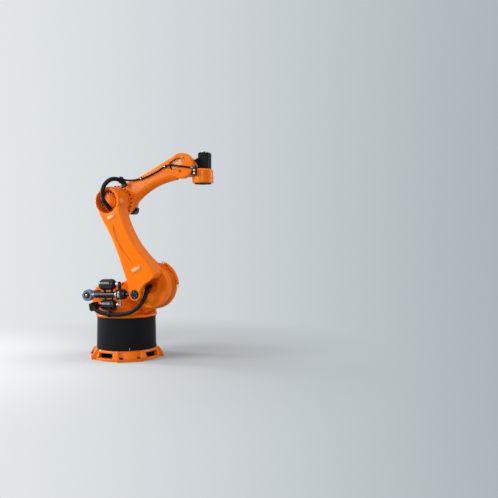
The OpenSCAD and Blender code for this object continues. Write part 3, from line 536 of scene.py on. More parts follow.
@dataclass(frozen=True)
class Frames:
    """Frames of the arm's groups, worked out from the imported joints."""

    across: Vector
    points: dict[str, Vector]

    @classmethod
    def from_joints(cls, joints: list[dict[str, Any]]) -> "Frames":
        """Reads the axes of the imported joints.

        Args:
            joints: The joints of the frame.

        Returns:
            The frames.
        """
        found = {joint["name"]: joint for joint in joints}
        across = Vector(found["arm_swing"]["axis"])
        points = {name: Vector(joint["pos_m"]) for name, joint in found.items() if "pos_m" in joint}
        points = {name: point - across * point.dot(across) for name, point in points.items()}
        points["stroke"] = Vector(found["balancer_stroke"]["axis"])
        return cls(across, points)

    def _frame(self, origin: Vector, along: Vector) -> Matrix:
        """Returns a frame with X along a direction, Y across the arm and Z square to both."""
        along = along.normalized()
        axes = Matrix((along, self.across, along.cross(self.across))).transposed()
        return Matrix.Translation(origin) @ axes.to_4x4()

    @property
    def forward(self) -> Vector:
        """Horizontal direction in which the arm points."""
        return self.across.cross(Vector((0, 0, 1)))

    @property
    def base(self) -> Matrix:
        """Frame on the turning axis at the floor, turned with the arm."""
        return self._frame(Vector((0, 0, 0)), self.forward)

    @property
    def shoulder(self) -> Matrix:
        """Frame on the shoulder axis, level."""
        return self._frame(self.points["arm_swing"], self.forward)

    @property
    def link(self) -> Matrix:
        """Frame on the shoulder axis with Z up the link arm."""
        up = self.points["elbow"] - self.points["arm_swing"]
        return self._frame(self.points["arm_swing"], self.across.cross(up))

    @property
    def forearm(self) -> Matrix:
        """Frame on the elbow axis with X along the forearm."""
        return self._frame(self.points["elbow"], self.points["wrist_tilt"] - self.points["elbow"])

    @property
    def wrist(self) -> Matrix:
        """Frame on the wrist axis, level."""
        return self._frame(self.points["wrist_tilt"], self.forward)

    @property
    def balancer(self) -> Matrix:
        """Frame on the trunnion axis with X along the cylinder."""
        return self._frame(self.points["balancer_tilt"], self.points["stroke"])

    @property
    def link_length(self) -> float:
        """Distance of the elbow from the shoulder in millimetres."""
        return (self.points["elbow"] - self.points["arm_swing"]).length / MM

    @property
    def forearm_length(self) -> float:
        """Distance of the wrist axis from the elbow in millimetres."""
        return (self.points["wrist_tilt"] - self.points["elbow"]).length / MM


def stand(frame: Matrix, point: Point, normal: Point) -> Matrix:
    """Place of a piece that stands on a surface.

    Args:
        frame: Frame of the group.
        point: Where it stands in that frame, in millimetres.
        normal: Direction in which it points, in that frame.

    Returns:
        The place in the row frame.
    """
    turn = Vector((0, 0, 1)).rotation_difference(Vector(normal)).to_matrix().to_4x4()
    return frame @ Matrix.Translation(Vector(point) * MM) @ turn


@dataclass(frozen=True)
class Ring:
    """Equal places round an axis across the arm, in millimetres and degrees."""

    radius: float
    count: int
    first: float = 0.0

    def places(self, frame: Matrix, centre: Point, facing: Point) -> list[Matrix]:
        """Places of the ring.

        Args:
            frame: Frame of the group.
            centre: Middle of the ring in that frame, in millimetres.
            facing: Direction that they face in that frame.

        Returns:
            The places in the row frame.
        """
        places = []
        for i in range(self.count):
            angle = math.radians(self.first + 360 * i / self.count)
            x, z = self.radius * math.cos(angle), self.radius * math.sin(angle)
            places.append(stand(frame, (centre[0] + x, centre[1], centre[2] + z), facing))
        return places


@dataclass
class Dresser:
    """Gives finishes to the nodes and to new pieces, and lets pieces ride on bodies."""

    nodes: dict[str, bpy.types.Object]
    materials: dict[Look, bpy.types.Material] = field(default_factory=dict)
    weld_mm: float = 0.05
    # Weight of large faces in the shading, where 50 is even
    face_weight: int = 100

    def __post_init__(self) -> None:
        """Builds a material for each look."""
        self.materials = {look: finish.material() for look, finish in FINISHES.items()}

    def paint(self, look: Look, *names: str) -> None:
        """Gives CAD nodes a finish.

        Args:
            look: The finish.
            names: Names of the nodes.
        """
        for name in names:
            node = self.nodes[name]
            if not node.material_slots:
                node.data.materials.append(self.materials[look])
            for place in node.material_slots:
                place.material = self.materials[look]
            log.info("node %s: %s", name, look.value)

    def even(self, *names: str) -> None:
        """Evens out the shading of turned nodes, whose fine facets would show in clear reflections.

        Args:
            names: Names of the nodes.
        """
        for name in names:
            weld = self.nodes[name].modifiers.new("weld", "WELD")
            weld.merge_threshold = self.weld_mm * MM
            shade = self.nodes[name].modifiers.new("shade", "WEIGHTED_NORMAL")
            shade.weight = self.face_weight
            log.info("node %s: shading evened", name)

    def finish(
        self, piece: bpy.types.Object, name: str, look: Look, angle: float = SMOOTH
    ) -> bpy.types.Object:
        """Names a new piece, shades it and gives it a finish.

        Args:
            piece: The piece, with its place in its mesh.
            name: Its name.
            look: Its finish.
            angle: Angle in degrees below which edges are shaded smooth.

        Returns:
            The piece.
        """
        clear_selection()
        piece.select_set(True)
        bpy.context.view_layer.objects.active = piece
        bpy.ops.object.shade_smooth_by_angle(angle=math.radians(angle))
        piece.name = name
        piece.data.name = name
        piece.data.materials.clear()
        piece.data.materials.append(self.materials[look])
        log.info("piece %s: %d faces, %s", name, len(piece.data.polygons), look.value)
        return piece

    def place(
        self, pattern: bpy.types.Object, places: Iterable[Matrix], name: str, look: Look, body: str
    ) -> bpy.types.Object:
        """Copies a pattern to its places, finishes it and lets it ride on a body.

        Args:
            pattern: A piece that stands on z = 0 at the origin.
            places: Where the copies go.
            name: Name of the joined piece.
            look: Its finish.
            body: The body it rides on.

        Returns:
            The piece.
        """
        piece = self.finish(copies_at(pattern, places), name, look)
        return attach(piece, body)


def smooth_route(route: list[Vector], steps: int = 12) -> list[Vector]:
    """Fills in a route with a smooth curve through its points.

    Args:
        route: Listed points.
        steps: Steps between two points.

    Returns:
        Points close together.
    """
    last = len(route) - 1
    points = []
    for i in range(last):
        a, b, c, d = (route[max(i - 1, 0)], route[i], route[i + 1], route[min(i + 2, last)])
        for k in range(steps):
            u = k / steps
            square, cube = 2 * a - 5 * b + 4 * c - d, 3 * b - a - 3 * c + d
            points.append(0.5 * (2 * b + (c - a) * u + square * u**2 + cube * u**3))
    return points + [route[last]]


def even_route(route: list[Vector], spacing: float) -> list[Vector]:
    """Points at even distances along a line.

    Args:
        route: Points close together.
        spacing: Distance between the new points in metres.

    Returns:
        The new points, the last one at the end of the line.
    """
    points = [route[0]]
    need = spacing
    for a, b in zip(route, route[1:]):
        length = (b - a).length
        while length >= need:
            points.append(a + (b - a) * (need / length))
            need += spacing
        need -= length
    return points + [route[-1]]


@dataclass
class Hose:
    """A ribbed hose or a smooth cable on a curved route between two bodies."""

    name: str
    node: str
    route: list[Vector]
    diameter: float
    pitch: float
    depth: float
    bodies: tuple[str, str]
    bend: tuple[int, int]
    lay: str
    sides: int = 20
    rings_per_rib: int = 4

    def mesh(self, line: list[Vector]) -> bpy.types.Mesh:
        """Makes the tube with its ribs and its two ends.

        Args:
            line: Middle of the tube, in even steps.

        Returns:
            The mesh.
        """
        radius = self.diameter / 2 * MM
        last = len(line) - 1
        points, faces = [], []
        side = Vector((0, 0, 1))
        for i, centre in enumerate(line):
            along = (line[min(i + 1, last)] - line[max(i - 1, 0)]).normalized()
            side = (side - along * side.dot(along)).normalized()
            other = along.cross(side)
            dip = self.depth * MM * (0.5 - 0.5 * math.cos(2 * math.pi * i / self.rings_per_rib))
            for j in range(self.sides):
                angle = 2 * math.pi * j / self.sides
                points.append(centre + (side * math.cos(angle) + other * math.sin(angle)) * (radius - dip))
        for i in range(last):
            row = i * self.sides
            for j in range(self.sides):
                k = (j + 1) % self.sides
                faces.append((row + j, row + k, row + self.sides + k, row + self.sides + j))
        first = list(range(self.sides))[::-1]
        end = [last * self.sides + j for j in range(self.sides)]
        mesh = bpy.data.meshes.new(self.name)
        mesh.from_pydata(points, [], faces + [first, end])
        return mesh

    def build(self, dresser: Dresser) -> bpy.types.Object:
        """Args:
            dresser: Gives its finish.

        Returns:
            The hose.
        """
        line = even_route(smooth_route(self.route), self.pitch / self.rings_per_rib * MM)
        hose = bpy.data.objects.new(self.name, self.mesh(line))
        bpy.context.collection.objects.link(hose)
        dresser.finish(hose, self.name, Look.RUBBER, HOSE_SMOOTH)
        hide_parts(self.node)
        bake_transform(hose)
        return hose


@dataclass
class Group:
    """A sub-assembly of the arm."""

    dresser: Dresser
    frames: Frames


@dataclass
class BaseUnit(Group):
    """Foot, drum and turntable."""

    drum_r: float = 426.0
    foot_h: float = 139.0
    mark_turn: float = -45.0
    mark_size: Point = (7.0, 8.0, 44.0)
    mark_edge: float = 1.5
    # Width of the mark's tip as a share of its foot
    mark_tip: float = 0.3
    bolt_far: float = 420.0
    bolt_near: float = 252.0
    pad_h: float = 40.0
    bolt: Screw = Screw(24.0, Head.HEX)

    def build(self) -> None:
        """Dresses the nodes and adds the small pieces."""
        self.dresser.paint(Look.ORANGE, "base_foot", "turntable")
        self.dresser.paint(Look.POWDER, "base_drum", "foot_core")
        self.dresser.paint(Look.PLASTIC, "turntable_ring")
        self.axis_mark()
        self.floor_bolts()

    def axis_mark(self) -> None:
        """Adds the zero mark at the bottom of the drum."""
        turn = math.radians(self.mark_turn)
        # A quarter of the mark's thickness stands out of the drum
        reach = self.drum_r - self.mark_size[0] / 4
        point = (reach * math.cos(turn), reach * math.sin(turn), self.foot_h)
        place = Matrix.Translation(Vector(point) * MM) @ Matrix.Rotation(turn, 4, "Z")
        mark = bevelled_block(self.mark_size, self.mark_edge)
        open_edit(mark)
        pick_faces(mark, top_face(self.mark_size[2]))
        bpy.ops.transform.resize(value=(1.0, self.mark_tip, 1.0))
        bpy.ops.object.mode_set(mode="OBJECT")
        self.dresser.place(mark, [place], "zero_mark", Look.CHROME, "base")

    def floor_bolts(self) -> None:
        """Adds the bolt heads on the ledges of the four pads."""
        reaches = ((self.bolt_far, self.bolt_near), (self.bolt_near, self.bolt_far))
        places = [
            Matrix.Translation(Vector((sx * x, sy * y, self.pad_h)) * MM)
            for x, y in reaches
            for sx in (-1, 1)
            for sy in (-1, 1)
        ]
        self.dresser.place(self.bolt.build(), places, "floor_bolts", Look.BLACK, "base")


@dataclass
class Column(Group):
    """Column casting with the shoulder housing, its motor and the stops."""

    housing_r: float = 326.0
    far_face: float = 110.0
    far_ring: Ring = Ring(202.0, 20, 9.0)
    casting_screw: Screw = Screw(14)
    stop_face: float = -80.0
    stop_angles: tuple[float, ...] = (14.0, 35.0, 56.0)
    stop_h: float = 36.0
    motor_face: float = 100.0
    motor_screw_seat: float = 85.0
    motor_ring: Ring = Ring(94.0, 8, 22.5)
    motor_screw: Screw = Screw(10)
    plug: Turned = Turned(radius=17, height=18, edge=3, rim=4, rise=7)
    plugs_at: tuple[float, float] = (-22.0, 22.0)
    plug_rise: float = 8.0

    def build(self) -> None:
        """Dresses the nodes and adds the small pieces."""
        self.dresser.paint(Look.ORANGE, "column_casting", "stop_bracket")
        self.dresser.paint(Look.BLACK, "shoulder_motor", "trunnion_pin")
        self.dresser.paint(Look.WHITE, "stop_buffers")
        self.dresser.paint(Look.PLASTIC, "hose_box", "hose_clamp")
        self.dresser.paint(Look.YELLOW, "rim_caps")
        self.housing_screws()
        self.stop_screws()
        self.motor_plugs()

    def housing_screws(self) -> None:
        """Adds the screw ring on the far end of the shoulder housing."""
        places = self.far_ring.places(self.frames.shoulder, (0, self.far_face, 0), FAR)
        self.dresser.place(self.casting_screw.build(), places, "housing_far_screws", Look.BLACK, "column")

    def stop_screws(self) -> None:
        """Adds the screws of the stop bracket."""
        reach = self.housing_r + self.stop_h / 2
        places = []
        for angle in self.stop_angles:
            turn = math.radians(angle)
            point = (reach * math.cos(turn), self.stop_face, reach * math.sin(turn))
            places.append(stand(self.frames.shoulder, point, NEAR))
        self.dresser.place(self.casting_screw.build(), places, "stop_screws", Look.ORANGE, "column")

    def motor_plugs(self) -> None:
        """Adds the screws and the two round plugs on the end of the shoulder motor."""
        shoulder = self.frames.shoulder
        places = self.motor_ring.places(shoulder, (0, self.motor_screw_seat, 0), FAR)
        self.dresser.place(self.motor_screw.build(), places, "shoulder_motor_screws", Look.CHROME, "column")
        places = [stand(shoulder, (x, self.motor_face, self.plug_rise), FAR) for x in self.plugs_at]
        self.dresser.place(self.plug.build(), places, "shoulder_motor_plugs", Look.PLASTIC, "column")


@dataclass
class Balancer(Group):
    """Hydraulic balancer with its two gas accumulators."""

    near: float = -376.0
    eye_w: float = 74.0
    plate_gap: float = 5.0
    plate: Turned = Turned(radius=38, height=7, edge=2, sides=32, rim=9, rise=-3)
    trunnion_bolt: Screw = Screw(16, Head.HEX)
    cylinder_nut: Turned = Turned(radius=51, height=26, edge=3, sides=12)
    gland_r: float = 60.0
    gland_w: float = 12.0
    gland_t: float = 10.0
    glands_at: tuple[float, float] = (92.0, 112.0)
    manifold_from: float = 480.0
    manifold_w: float = 104.0
    manifold_high: float = 74.0
    manifold_screw: Screw = Screw(12)
    # Rows of the manifold's screws along the cylinder and across it
    screw_rows: tuple[tuple[float, float], tuple[float, float]] = ((16.0, 74.0), (-52.0, 60.0))
    union: Turned = Turned(radius=20, height=16, edge=2, sides=6, rim=5, rise=14)
    union_at: float = 45.0
    union_heights: tuple[float, float] = (-18.0, 26.0)
    pipe_at: float = 511.0
    sleeve_r: float = 22.0
    sleeve_over: float = 30.0
    accumulator_rise: float = 145.0
    accumulator_from: float = 187.0
    accumulator_len: float = 272.0
    valve_nut: Turned = Turned(radius=31, height=18, edge=4, sides=6)
    valve_gap: float = 10.0
    clamps_at: tuple[float, float] = (265.0, 381.0)
    clamp_half: float = 16.0
    clamp_rise: float = 55.0
    clamp_cap: Turned = Turned(radius=9, height=8, edge=2, sides=16, rim=3, rise=-2)

    def build(self) -> None:
        """Dresses the nodes and adds the small pieces."""
        accumulators = ("accumulator_upper", "accumulator_lower")
        self.dresser.paint(Look.STEEL, "balancer_eye")
        self.dresser.paint(Look.BLACK, "balancer_tube", "balancer_manifold", "balancer_rod", *accumulators)
        self.dresser.even(*accumulators)
        self.dresser.paint(Look.CHROME, "accumulator_valves")
        self.trunnion_plate()
        self.collars()
        self.manifold_fittings()
        self.accumulator_fittings()

    def along(self, x: float, z: float = 0.0) -> Matrix:
        """Place on a line along the cylinder, pointing along it."""
        return stand(self.frames.balancer, (x, self.near, z), AHEAD)

    def trunnion_plate(self) -> None:
        """Adds the retaining plate and bolt on the near end of the trunnion."""
        face = self.near - self.eye_w / 2 - self.plate_gap
        place = stand(self.frames.balancer, (0, face, 0), NEAR)
        self.dresser.place(self.plate.build(), [place], "trunnion_plate", Look.BLACK, "column")
        seat = face - self.plate.height - self.plate.rise
        place = stand(self.frames.balancer, (0, seat, 0), NEAR)
        self.dresser.place(self.trunnion_bolt.build(), [place], "trunnion_bolt", Look.CHROME, "column")

    def collars(self) -> None:
        """Adds the nut ring and the gland rings of the cylinder."""
        place = self.along(self.manifold_from - self.cylinder_nut.height)
        self.dresser.place(self.cylinder_nut.build(), [place], "cylinder_nut", Look.CHROME, "balancer")
        rings = band(self.gland_r, self.gland_w, self.gland_t)
        rings.data.transform(Matrix.Translation((0, 0, self.gland_w / 2 * MM)))
        places = [self.along(self.manifold_from + x) for x in self.glands_at]
        self.dresser.place(rings, places, "gland_rings", Look.BLACK, "balancer")

    def manifold_fittings(self) -> None:
        """Adds the screws and unions of the manifold."""
        balancer, start = self.frames.balancer, self.manifold_from
        face = self.near - self.manifold_w / 2
        spots = [(start + x, face, z) for x in self.screw_rows[0] for z in self.screw_rows[1]]
        places = [stand(balancer, spot, NEAR) for spot in spots]
        self.dresser.place(self.manifold_screw.build(), places, "manifold_screws", Look.BLACK, "balancer")
        places = [stand(balancer, (start + self.union_at, face, z), NEAR) for z in self.union_heights]
        self.dresser.place(self.union.build(), places, "manifold_unions", Look.CHROME, "balancer")

    def accumulator_fittings(self) -> None:
        """Adds the accumulators' valve nuts, the sleeve on the upper pipe and the clamps' screws."""
        balancer, rise = self.frames.balancer, self.accumulator_rise
        end = self.accumulator_from + self.accumulator_len + self.valve_gap
        places = [self.along(end, side * rise) for side in (-1, 1)]
        self.dresser.place(self.valve_nut.build(), places, "valve_nuts", Look.CHROME, "balancer")
        height = rise + self.sleeve_over - self.manifold_high
        sleeve = Turned(radius=self.sleeve_r, height=height, edge=4, rim=6, rise=6)
        place = stand(balancer, (self.pipe_at, self.near, self.manifold_high), UP)
        self.dresser.place(sleeve.build(), [place], "pipe_sleeve", Look.PLASTIC, "balancer")
        face = self.near - self.clamp_half
        spots = [(x, face, side * self.clamp_rise) for x in self.clamps_at for side in (-1, 1)]
        places = [stand(balancer, spot, NEAR) for spot in spots]
        self.dresser.place(self.clamp_cap.build(), places, "clamp_screws", Look.STEEL, "balancer")


@dataclass(frozen=True)
class BarePlate:
    """A bare plate on the link arm, in millimetres, its height as a share of the link's length."""

    share: float
    middle: float
    length: float
    width: float


@dataclass
class LinkArm(Group):
    """Link arm with the balancer pin and the elbow cover."""

    outer: float = -475.0
    pin: tuple[float, float] = (-135.0, -50.0)
    pin_head: float = 6.0
    pin_ring: Ring = Ring(38.0, 6, 15.0)
    pin_screw: Screw = Screw(12)
    pin_plug: Turned = Turned(radius=22, height=6, edge=2, rim=6, rise=-3)
    cover_shift: float = -12.0
    cover_face: float = -371.0
    cover_ring: Ring = Ring(130.0, 18)
    cover_screw: Screw = Screw(14)
    pad_rise: float = 4.0
    plates: tuple[BarePlate, ...] = (BarePlate(0.80, -30.0, 112.0, 54.0), BarePlate(0.175, 34.0, 142.0, 52.0))
    plate_offset: float = 31.0
    plate_t: float = 2.0
    plate_edge: float = 0.6
    rivet: Turned = Turned(radius=3.5, height=1.8, edge=0.8, sides=12)
    rivet_in: float = 7.0

    def build(self) -> None:
        """Dresses the nodes and adds the small pieces."""
        self.dresser.paint(Look.ORANGE, "link_arm", "elbow_cover")
        self.dresser.paint(Look.PLASTIC, "balancer_pin")
        self.screw_rings()
        for index, plate in enumerate(self.plates, 1):
            self.bare_plate(plate, index)

    def screw_rings(self) -> None:
        """Adds the screws of the elbow cover and of the balancer pin, and the pin's plug."""
        link = self.frames.link
        centre = (self.cover_shift, self.cover_face, self.frames.link_length)
        places = self.cover_ring.places(link, centre, NEAR)
        self.dresser.place(self.cover_screw.build(), places, "elbow_cover_screws", Look.BLACK, "link")
        centre = (self.pin[0], self.outer - self.pin_head, self.pin[1])
        places = self.pin_ring.places(link, centre, NEAR)
        self.dresser.place(self.pin_screw.build(), places, "balancer_pin_screws", Look.STEEL, "link")
        place = stand(link, centre, NEAR)
        self.dresser.place(self.pin_plug.build(), [place], "balancer_pin_plug", Look.BLACK, "link")

    def bare_plate(self, plate: BarePlate, index: int) -> None:
        """Adds a bare plate with its rivets on a pad of the outer face.

        Args:
            plate: Its sizes and place.
            index: Its number.
        """
        link = self.frames.link
        face = self.outer - self.pad_rise
        height = plate.share * self.frames.link_length + self.plate_offset
        piece = bevelled_block((plate.length, plate.width, self.plate_t), self.plate_edge)
        place = link @ Matrix.Translation(Vector((plate.middle, face, height)) * MM) @ ON_EDGE
        self.dresser.place(piece, [place], f"bare_plate_{index}", Look.PALE, "link")
        reach_x, reach_z = plate.length / 2 - self.rivet_in, plate.width / 2 - self.rivet_in
        corners = [(sx * reach_x, sz * reach_z) for sx in (-1, 1) for sz in (-1, 1)]
        spots = [(plate.middle + x, face - self.plate_t, height + z) for x, z in corners]
        places = [stand(link, spot, NEAR) for spot in spots]
        self.dresser.place(self.rivet.build(), places, f"plate_rivets_{index}", Look.STEEL, "link")


@dataclass
class Forearm(Group):
    """Forearm with its elbow flange, motors, bracket and clips."""

    near: float = -186.0
    far: float = 118.0
    root_ring: Ring = Ring(221.0, 24)
    recess_ring: Ring = Ring(96.0, 8)
    recess_depth: float = 48.0
    root_screw: Screw = Screw(12)
    clip_places: tuple[tuple[float, float], ...] = ((491.0, 114.0), (891.0, 95.0))
    cable_y: float = -206.0
    cable_d: float = 27.0
    strap_gap: float = 4.0
    strap_w: float = 16.0
    strap_t: float = 3.0
    strap_sides: int = 24
    # The straps follow the fall of the cable along the forearm
    strap_axis: Point = (1.0, 0.0, -0.12)
    strap_screw: Screw = Screw(8, Head.HEX)
    strap_screw_out: float = 34.0
    strap_screw_rise: float = 17.0
    plug: Turned = Turned(radius=11, height=5, edge=1.5, rim=4, rise=-3)
    plug_at: tuple[float, float] = (836.0, 41.0)
    cheek_bolt: Screw = Screw(16, Head.HEX)
    cheek_bolt_at: tuple[float, float] = (76.0, 89.0)
    # Oval recess: start from the wrist axis, length between its centres, height
    oval: tuple[float, float, float] = (-100.0, 84.0, 58.0)
    oval_r: float = 62.0
    oval_sides: int = 64
    # Painted shade: a dark lining on the wall of the oval recess, its thickness and its setback from the near
    # face
    shade_sheet_t: float = 3.0
    shade_sheet_set: float = 4.0
    cover_face: float = -158.0
    cover_screw: Screw = Screw(8)
    cover_screw_end: float = 44.0
    cover_screw_side: float = 45.0
    motor_face: float = 320.0
    motor_ring: Ring = Ring(78.0, 4, 45.0)
    motor_screw: Screw = Screw(10)
    motor_plug: Turned = Turned(radius=23, height=34, edge=3, rim=5, rise=14)
    motor_plug_back: float = 110.0
    motor_plugs_at: tuple[float, float] = (215.0, 270.0)

    def build(self) -> None:
        """Dresses the nodes and adds the small pieces."""
        self.dresser.paint(Look.ORANGE, "forearm", "elbow_flange")
        self.dresser.paint(Look.BLACK, "elbow_motor", "wrist_motor")
        self.dresser.paint(Look.PLASTIC, "hose_bracket", "cable_clips")
        self.dresser.paint(Look.PALE, "wrist_cover")
        self.root_screws()
        self.near_fixings()
        self.cable_straps()
        self.recess_shade_sheet()
        self.cover_screws()
        self.wrist_motor_fittings()

    def root_screws(self) -> None:
        """Adds the screw rings on the near and the far side of the elbow."""
        forearm = self.frames.forearm
        places = self.root_ring.places(forearm, (0, self.near, 0), NEAR)
        self.dresser.place(self.root_screw.build(), places, "elbow_ring_screws", Look.BLACK, "forearm")
        places = self.recess_ring.places(forearm, (0, self.far - self.recess_depth, 0), FAR)
        self.dresser.place(self.root_screw.build(), places, "elbow_far_screws", Look.BLACK, "forearm")

    def near_fixings(self) -> None:
        """Adds the plug and the bolt of the near face."""
        forearm = self.frames.forearm
        place = stand(forearm, (self.plug_at[0], self.near, self.plug_at[1]), NEAR)
        self.dresser.place(self.plug.build(), [place], "forearm_plug", Look.STEEL, "forearm")
        along, up = self.cheek_bolt_at
        place = stand(forearm, (self.frames.forearm_length + along, self.near, up), NEAR)
        self.dresser.place(self.cheek_bolt.build(), [place], "cheek_bolt", Look.STEEL, "forearm")

    def cable_straps(self) -> None:
        """Adds the bright straps that hold the cable on its clips."""
        forearm = self.frames.forearm
        strap = band(self.cable_d / 2 + self.strap_gap, self.strap_w, self.strap_t, self.strap_sides)
        places = [stand(forearm, (a, self.cable_y, b), self.strap_axis) for a, b in self.clip_places]
        self.dresser.place(strap, places, "cable_straps", Look.CHROME, "forearm")
        out = self.near - self.strap_screw_out
        places = [stand(forearm, (a, out, b + self.strap_screw_rise), NEAR) for a, b in self.clip_places]
        self.dresser.place(self.strap_screw.build(), places, "strap_screws", Look.STEEL, "forearm")

    def recess_shade_sheet(self) -> None:
        """Adds a black rubber lining on the wall of the oval recess: a dark sheet that paints the shade on
        that wall.
        """
        start, length, height = self.oval
        depth = self.cover_face - self.near - self.shade_sheet_set
        clear_selection()
        bpy.ops.mesh.primitive_cylinder_add(
            vertices=self.oval_sides, radius=self.oval_r * MM, depth=depth * MM, end_fill_type="NOTHING"
        )
        shade_sheet = bpy.context.object
        open_edit(shade_sheet)
        pick_faces(shade_sheet, lambda centre, normal: centre.x > 0)
        bpy.ops.transform.translate(value=(length * MM, 0, 0))
        bpy.ops.object.mode_set(mode="OBJECT")
        wall = shade_sheet.modifiers.new("Wall", "SOLIDIFY")
        wall.thickness = self.shade_sheet_t * MM
        wall.offset = -1.0
        bpy.ops.object.modifier_apply(modifier=wall.name)
        point = (self.frames.forearm_length + start, self.near + self.shade_sheet_set + depth / 2, height)
        place = self.frames.forearm @ Matrix.Translation(Vector(point) * MM) @ ON_EDGE
        # The lining is painted shade: it darkens the recess wall where the shade falls
        self.dresser.place(shade_sheet, [place], "recess_shade_sheet", Look.RUBBER, "forearm")

    def cover_screws(self) -> None:
        """Adds the screws of the pale cover in the oval recess."""
        start, length, height = self.oval
        middle = self.frames.forearm_length + start
        end, side = self.cover_screw_end, self.cover_screw_side
        spots = [(middle - end, height), (middle + length + end, height)]
        spots += [(middle + x, height + turn * side) for x in (0, length) for turn in (-1, 1)]
        places = [stand(self.frames.forearm, (a, self.cover_face, b), NEAR) for a, b in spots]
        self.dresser.place(self.cover_screw.build(), places, "wrist_cover_screws", Look.STEEL, "forearm")

    def wrist_motor_fittings(self) -> None:
        """Adds the screws and plugs of the motor on the far side of the wrist."""
        forearm, axis = self.frames.forearm, self.frames.forearm_length
        places = self.motor_ring.places(forearm, (axis, self.motor_face, 0), FAR)
        self.dresser.place(self.motor_screw.build(), places, "wrist_motor_screws", Look.CHROME, "forearm")
        places = [stand(forearm, (axis - self.motor_plug_back, y, 0), BACK) for y in self.motor_plugs_at]
        self.dresser.place(self.motor_plug.build(), places, "wrist_motor_plugs", Look.PLASTIC, "forearm")


@dataclass
class Wrist(Group):
    """Wrist body with the flange motor, its plugs and the tool flange."""

    offset: float = 250.0
    motor_shift: Point = (12.0, 34.0, -40.0)
    motor_half: float = 78.0
    motor_h: float = 234.0
    motor_screw: Screw = Screw(8)
    motor_screw_in: float = 42.0
    motor_plug: Turned = Turned(radius=19, height=22, edge=3, rim=4, rise=10)
    motor_plug_out: float = 46.0
    motor_plug_rise: float = 86.0
    connector_face: float = -187.0
    plug: Turned = Turned(radius=13, height=14, edge=3, rim=4, rise=6)
    plug_x: float = 204.0
    plug_heights: tuple[float, float] = (-68.0, -112.0)
    gland: Turned = Turned(radius=15, height=36, edge=3, sides=12, rim=3, rise=12)
    gland_at: Point = (196.0, -204.0, -40.0)
    gland_turn: Point = (-1.0, -0.07, 0.15)
    boot: Turned = Turned(radius=14, height=20, edge=3, rim=4, rise=14)
    boot_at: Point = (206.0, -152.0, -34.0)

    def build(self) -> None:
        """Dresses the nodes and adds the small pieces."""
        self.dresser.paint(Look.ORANGE, "wrist")
        self.dresser.paint(Look.STEEL, "wrist_shaft")
        self.dresser.paint(Look.POWDER, "flange_motor", "tool_flange")
        self.dresser.paint(Look.PLASTIC, "motor_plug", "wrist_connector")
        self.motor_fittings()
        self.connector_plugs()

    def motor_fittings(self) -> None:
        """Adds the cap screws and the side plug of the flange motor."""
        wrist = self.frames.wrist
        x, y, z = Vector(self.motor_shift) + Vector((self.offset, 0, 0))
        reach = self.motor_half - self.motor_screw_in
        corners = [(sx * reach, sy * reach) for sx in (-1, 1) for sy in (-1, 1)]
        places = [stand(wrist, (x + dx, y + dy, z + self.motor_h), UP) for dx, dy in corners]
        self.dresser.place(self.motor_screw.build(), places, "flange_motor_screws", Look.CHROME, "wrist")
        place = stand(wrist, (x - self.motor_half - self.motor_plug_out, y, self.motor_plug_rise), BACK)
        self.dresser.place(self.motor_plug.build(), [place], "flange_motor_plug", Look.PLASTIC, "wrist")

    def connector_plugs(self) -> None:
        """Adds the round plugs of the connector block, the gland of the cable and its boot."""
        wrist = self.frames.wrist
        places = [stand(wrist, (self.plug_x, self.connector_face, z), NEAR) for z in self.plug_heights]
        self.dresser.place(self.plug.build(), places, "connector_plugs", Look.WHITE, "wrist")
        place = stand(wrist, self.gland_at, self.gland_turn)
        self.dresser.place(self.gland.build(), [place], "cable_gland", Look.STEEL, "wrist")
        place = stand(wrist, self.boot_at, UP)
        self.dresser.place(self.boot.build(), [place], "connector_boot", Look.PLASTIC, "wrist")


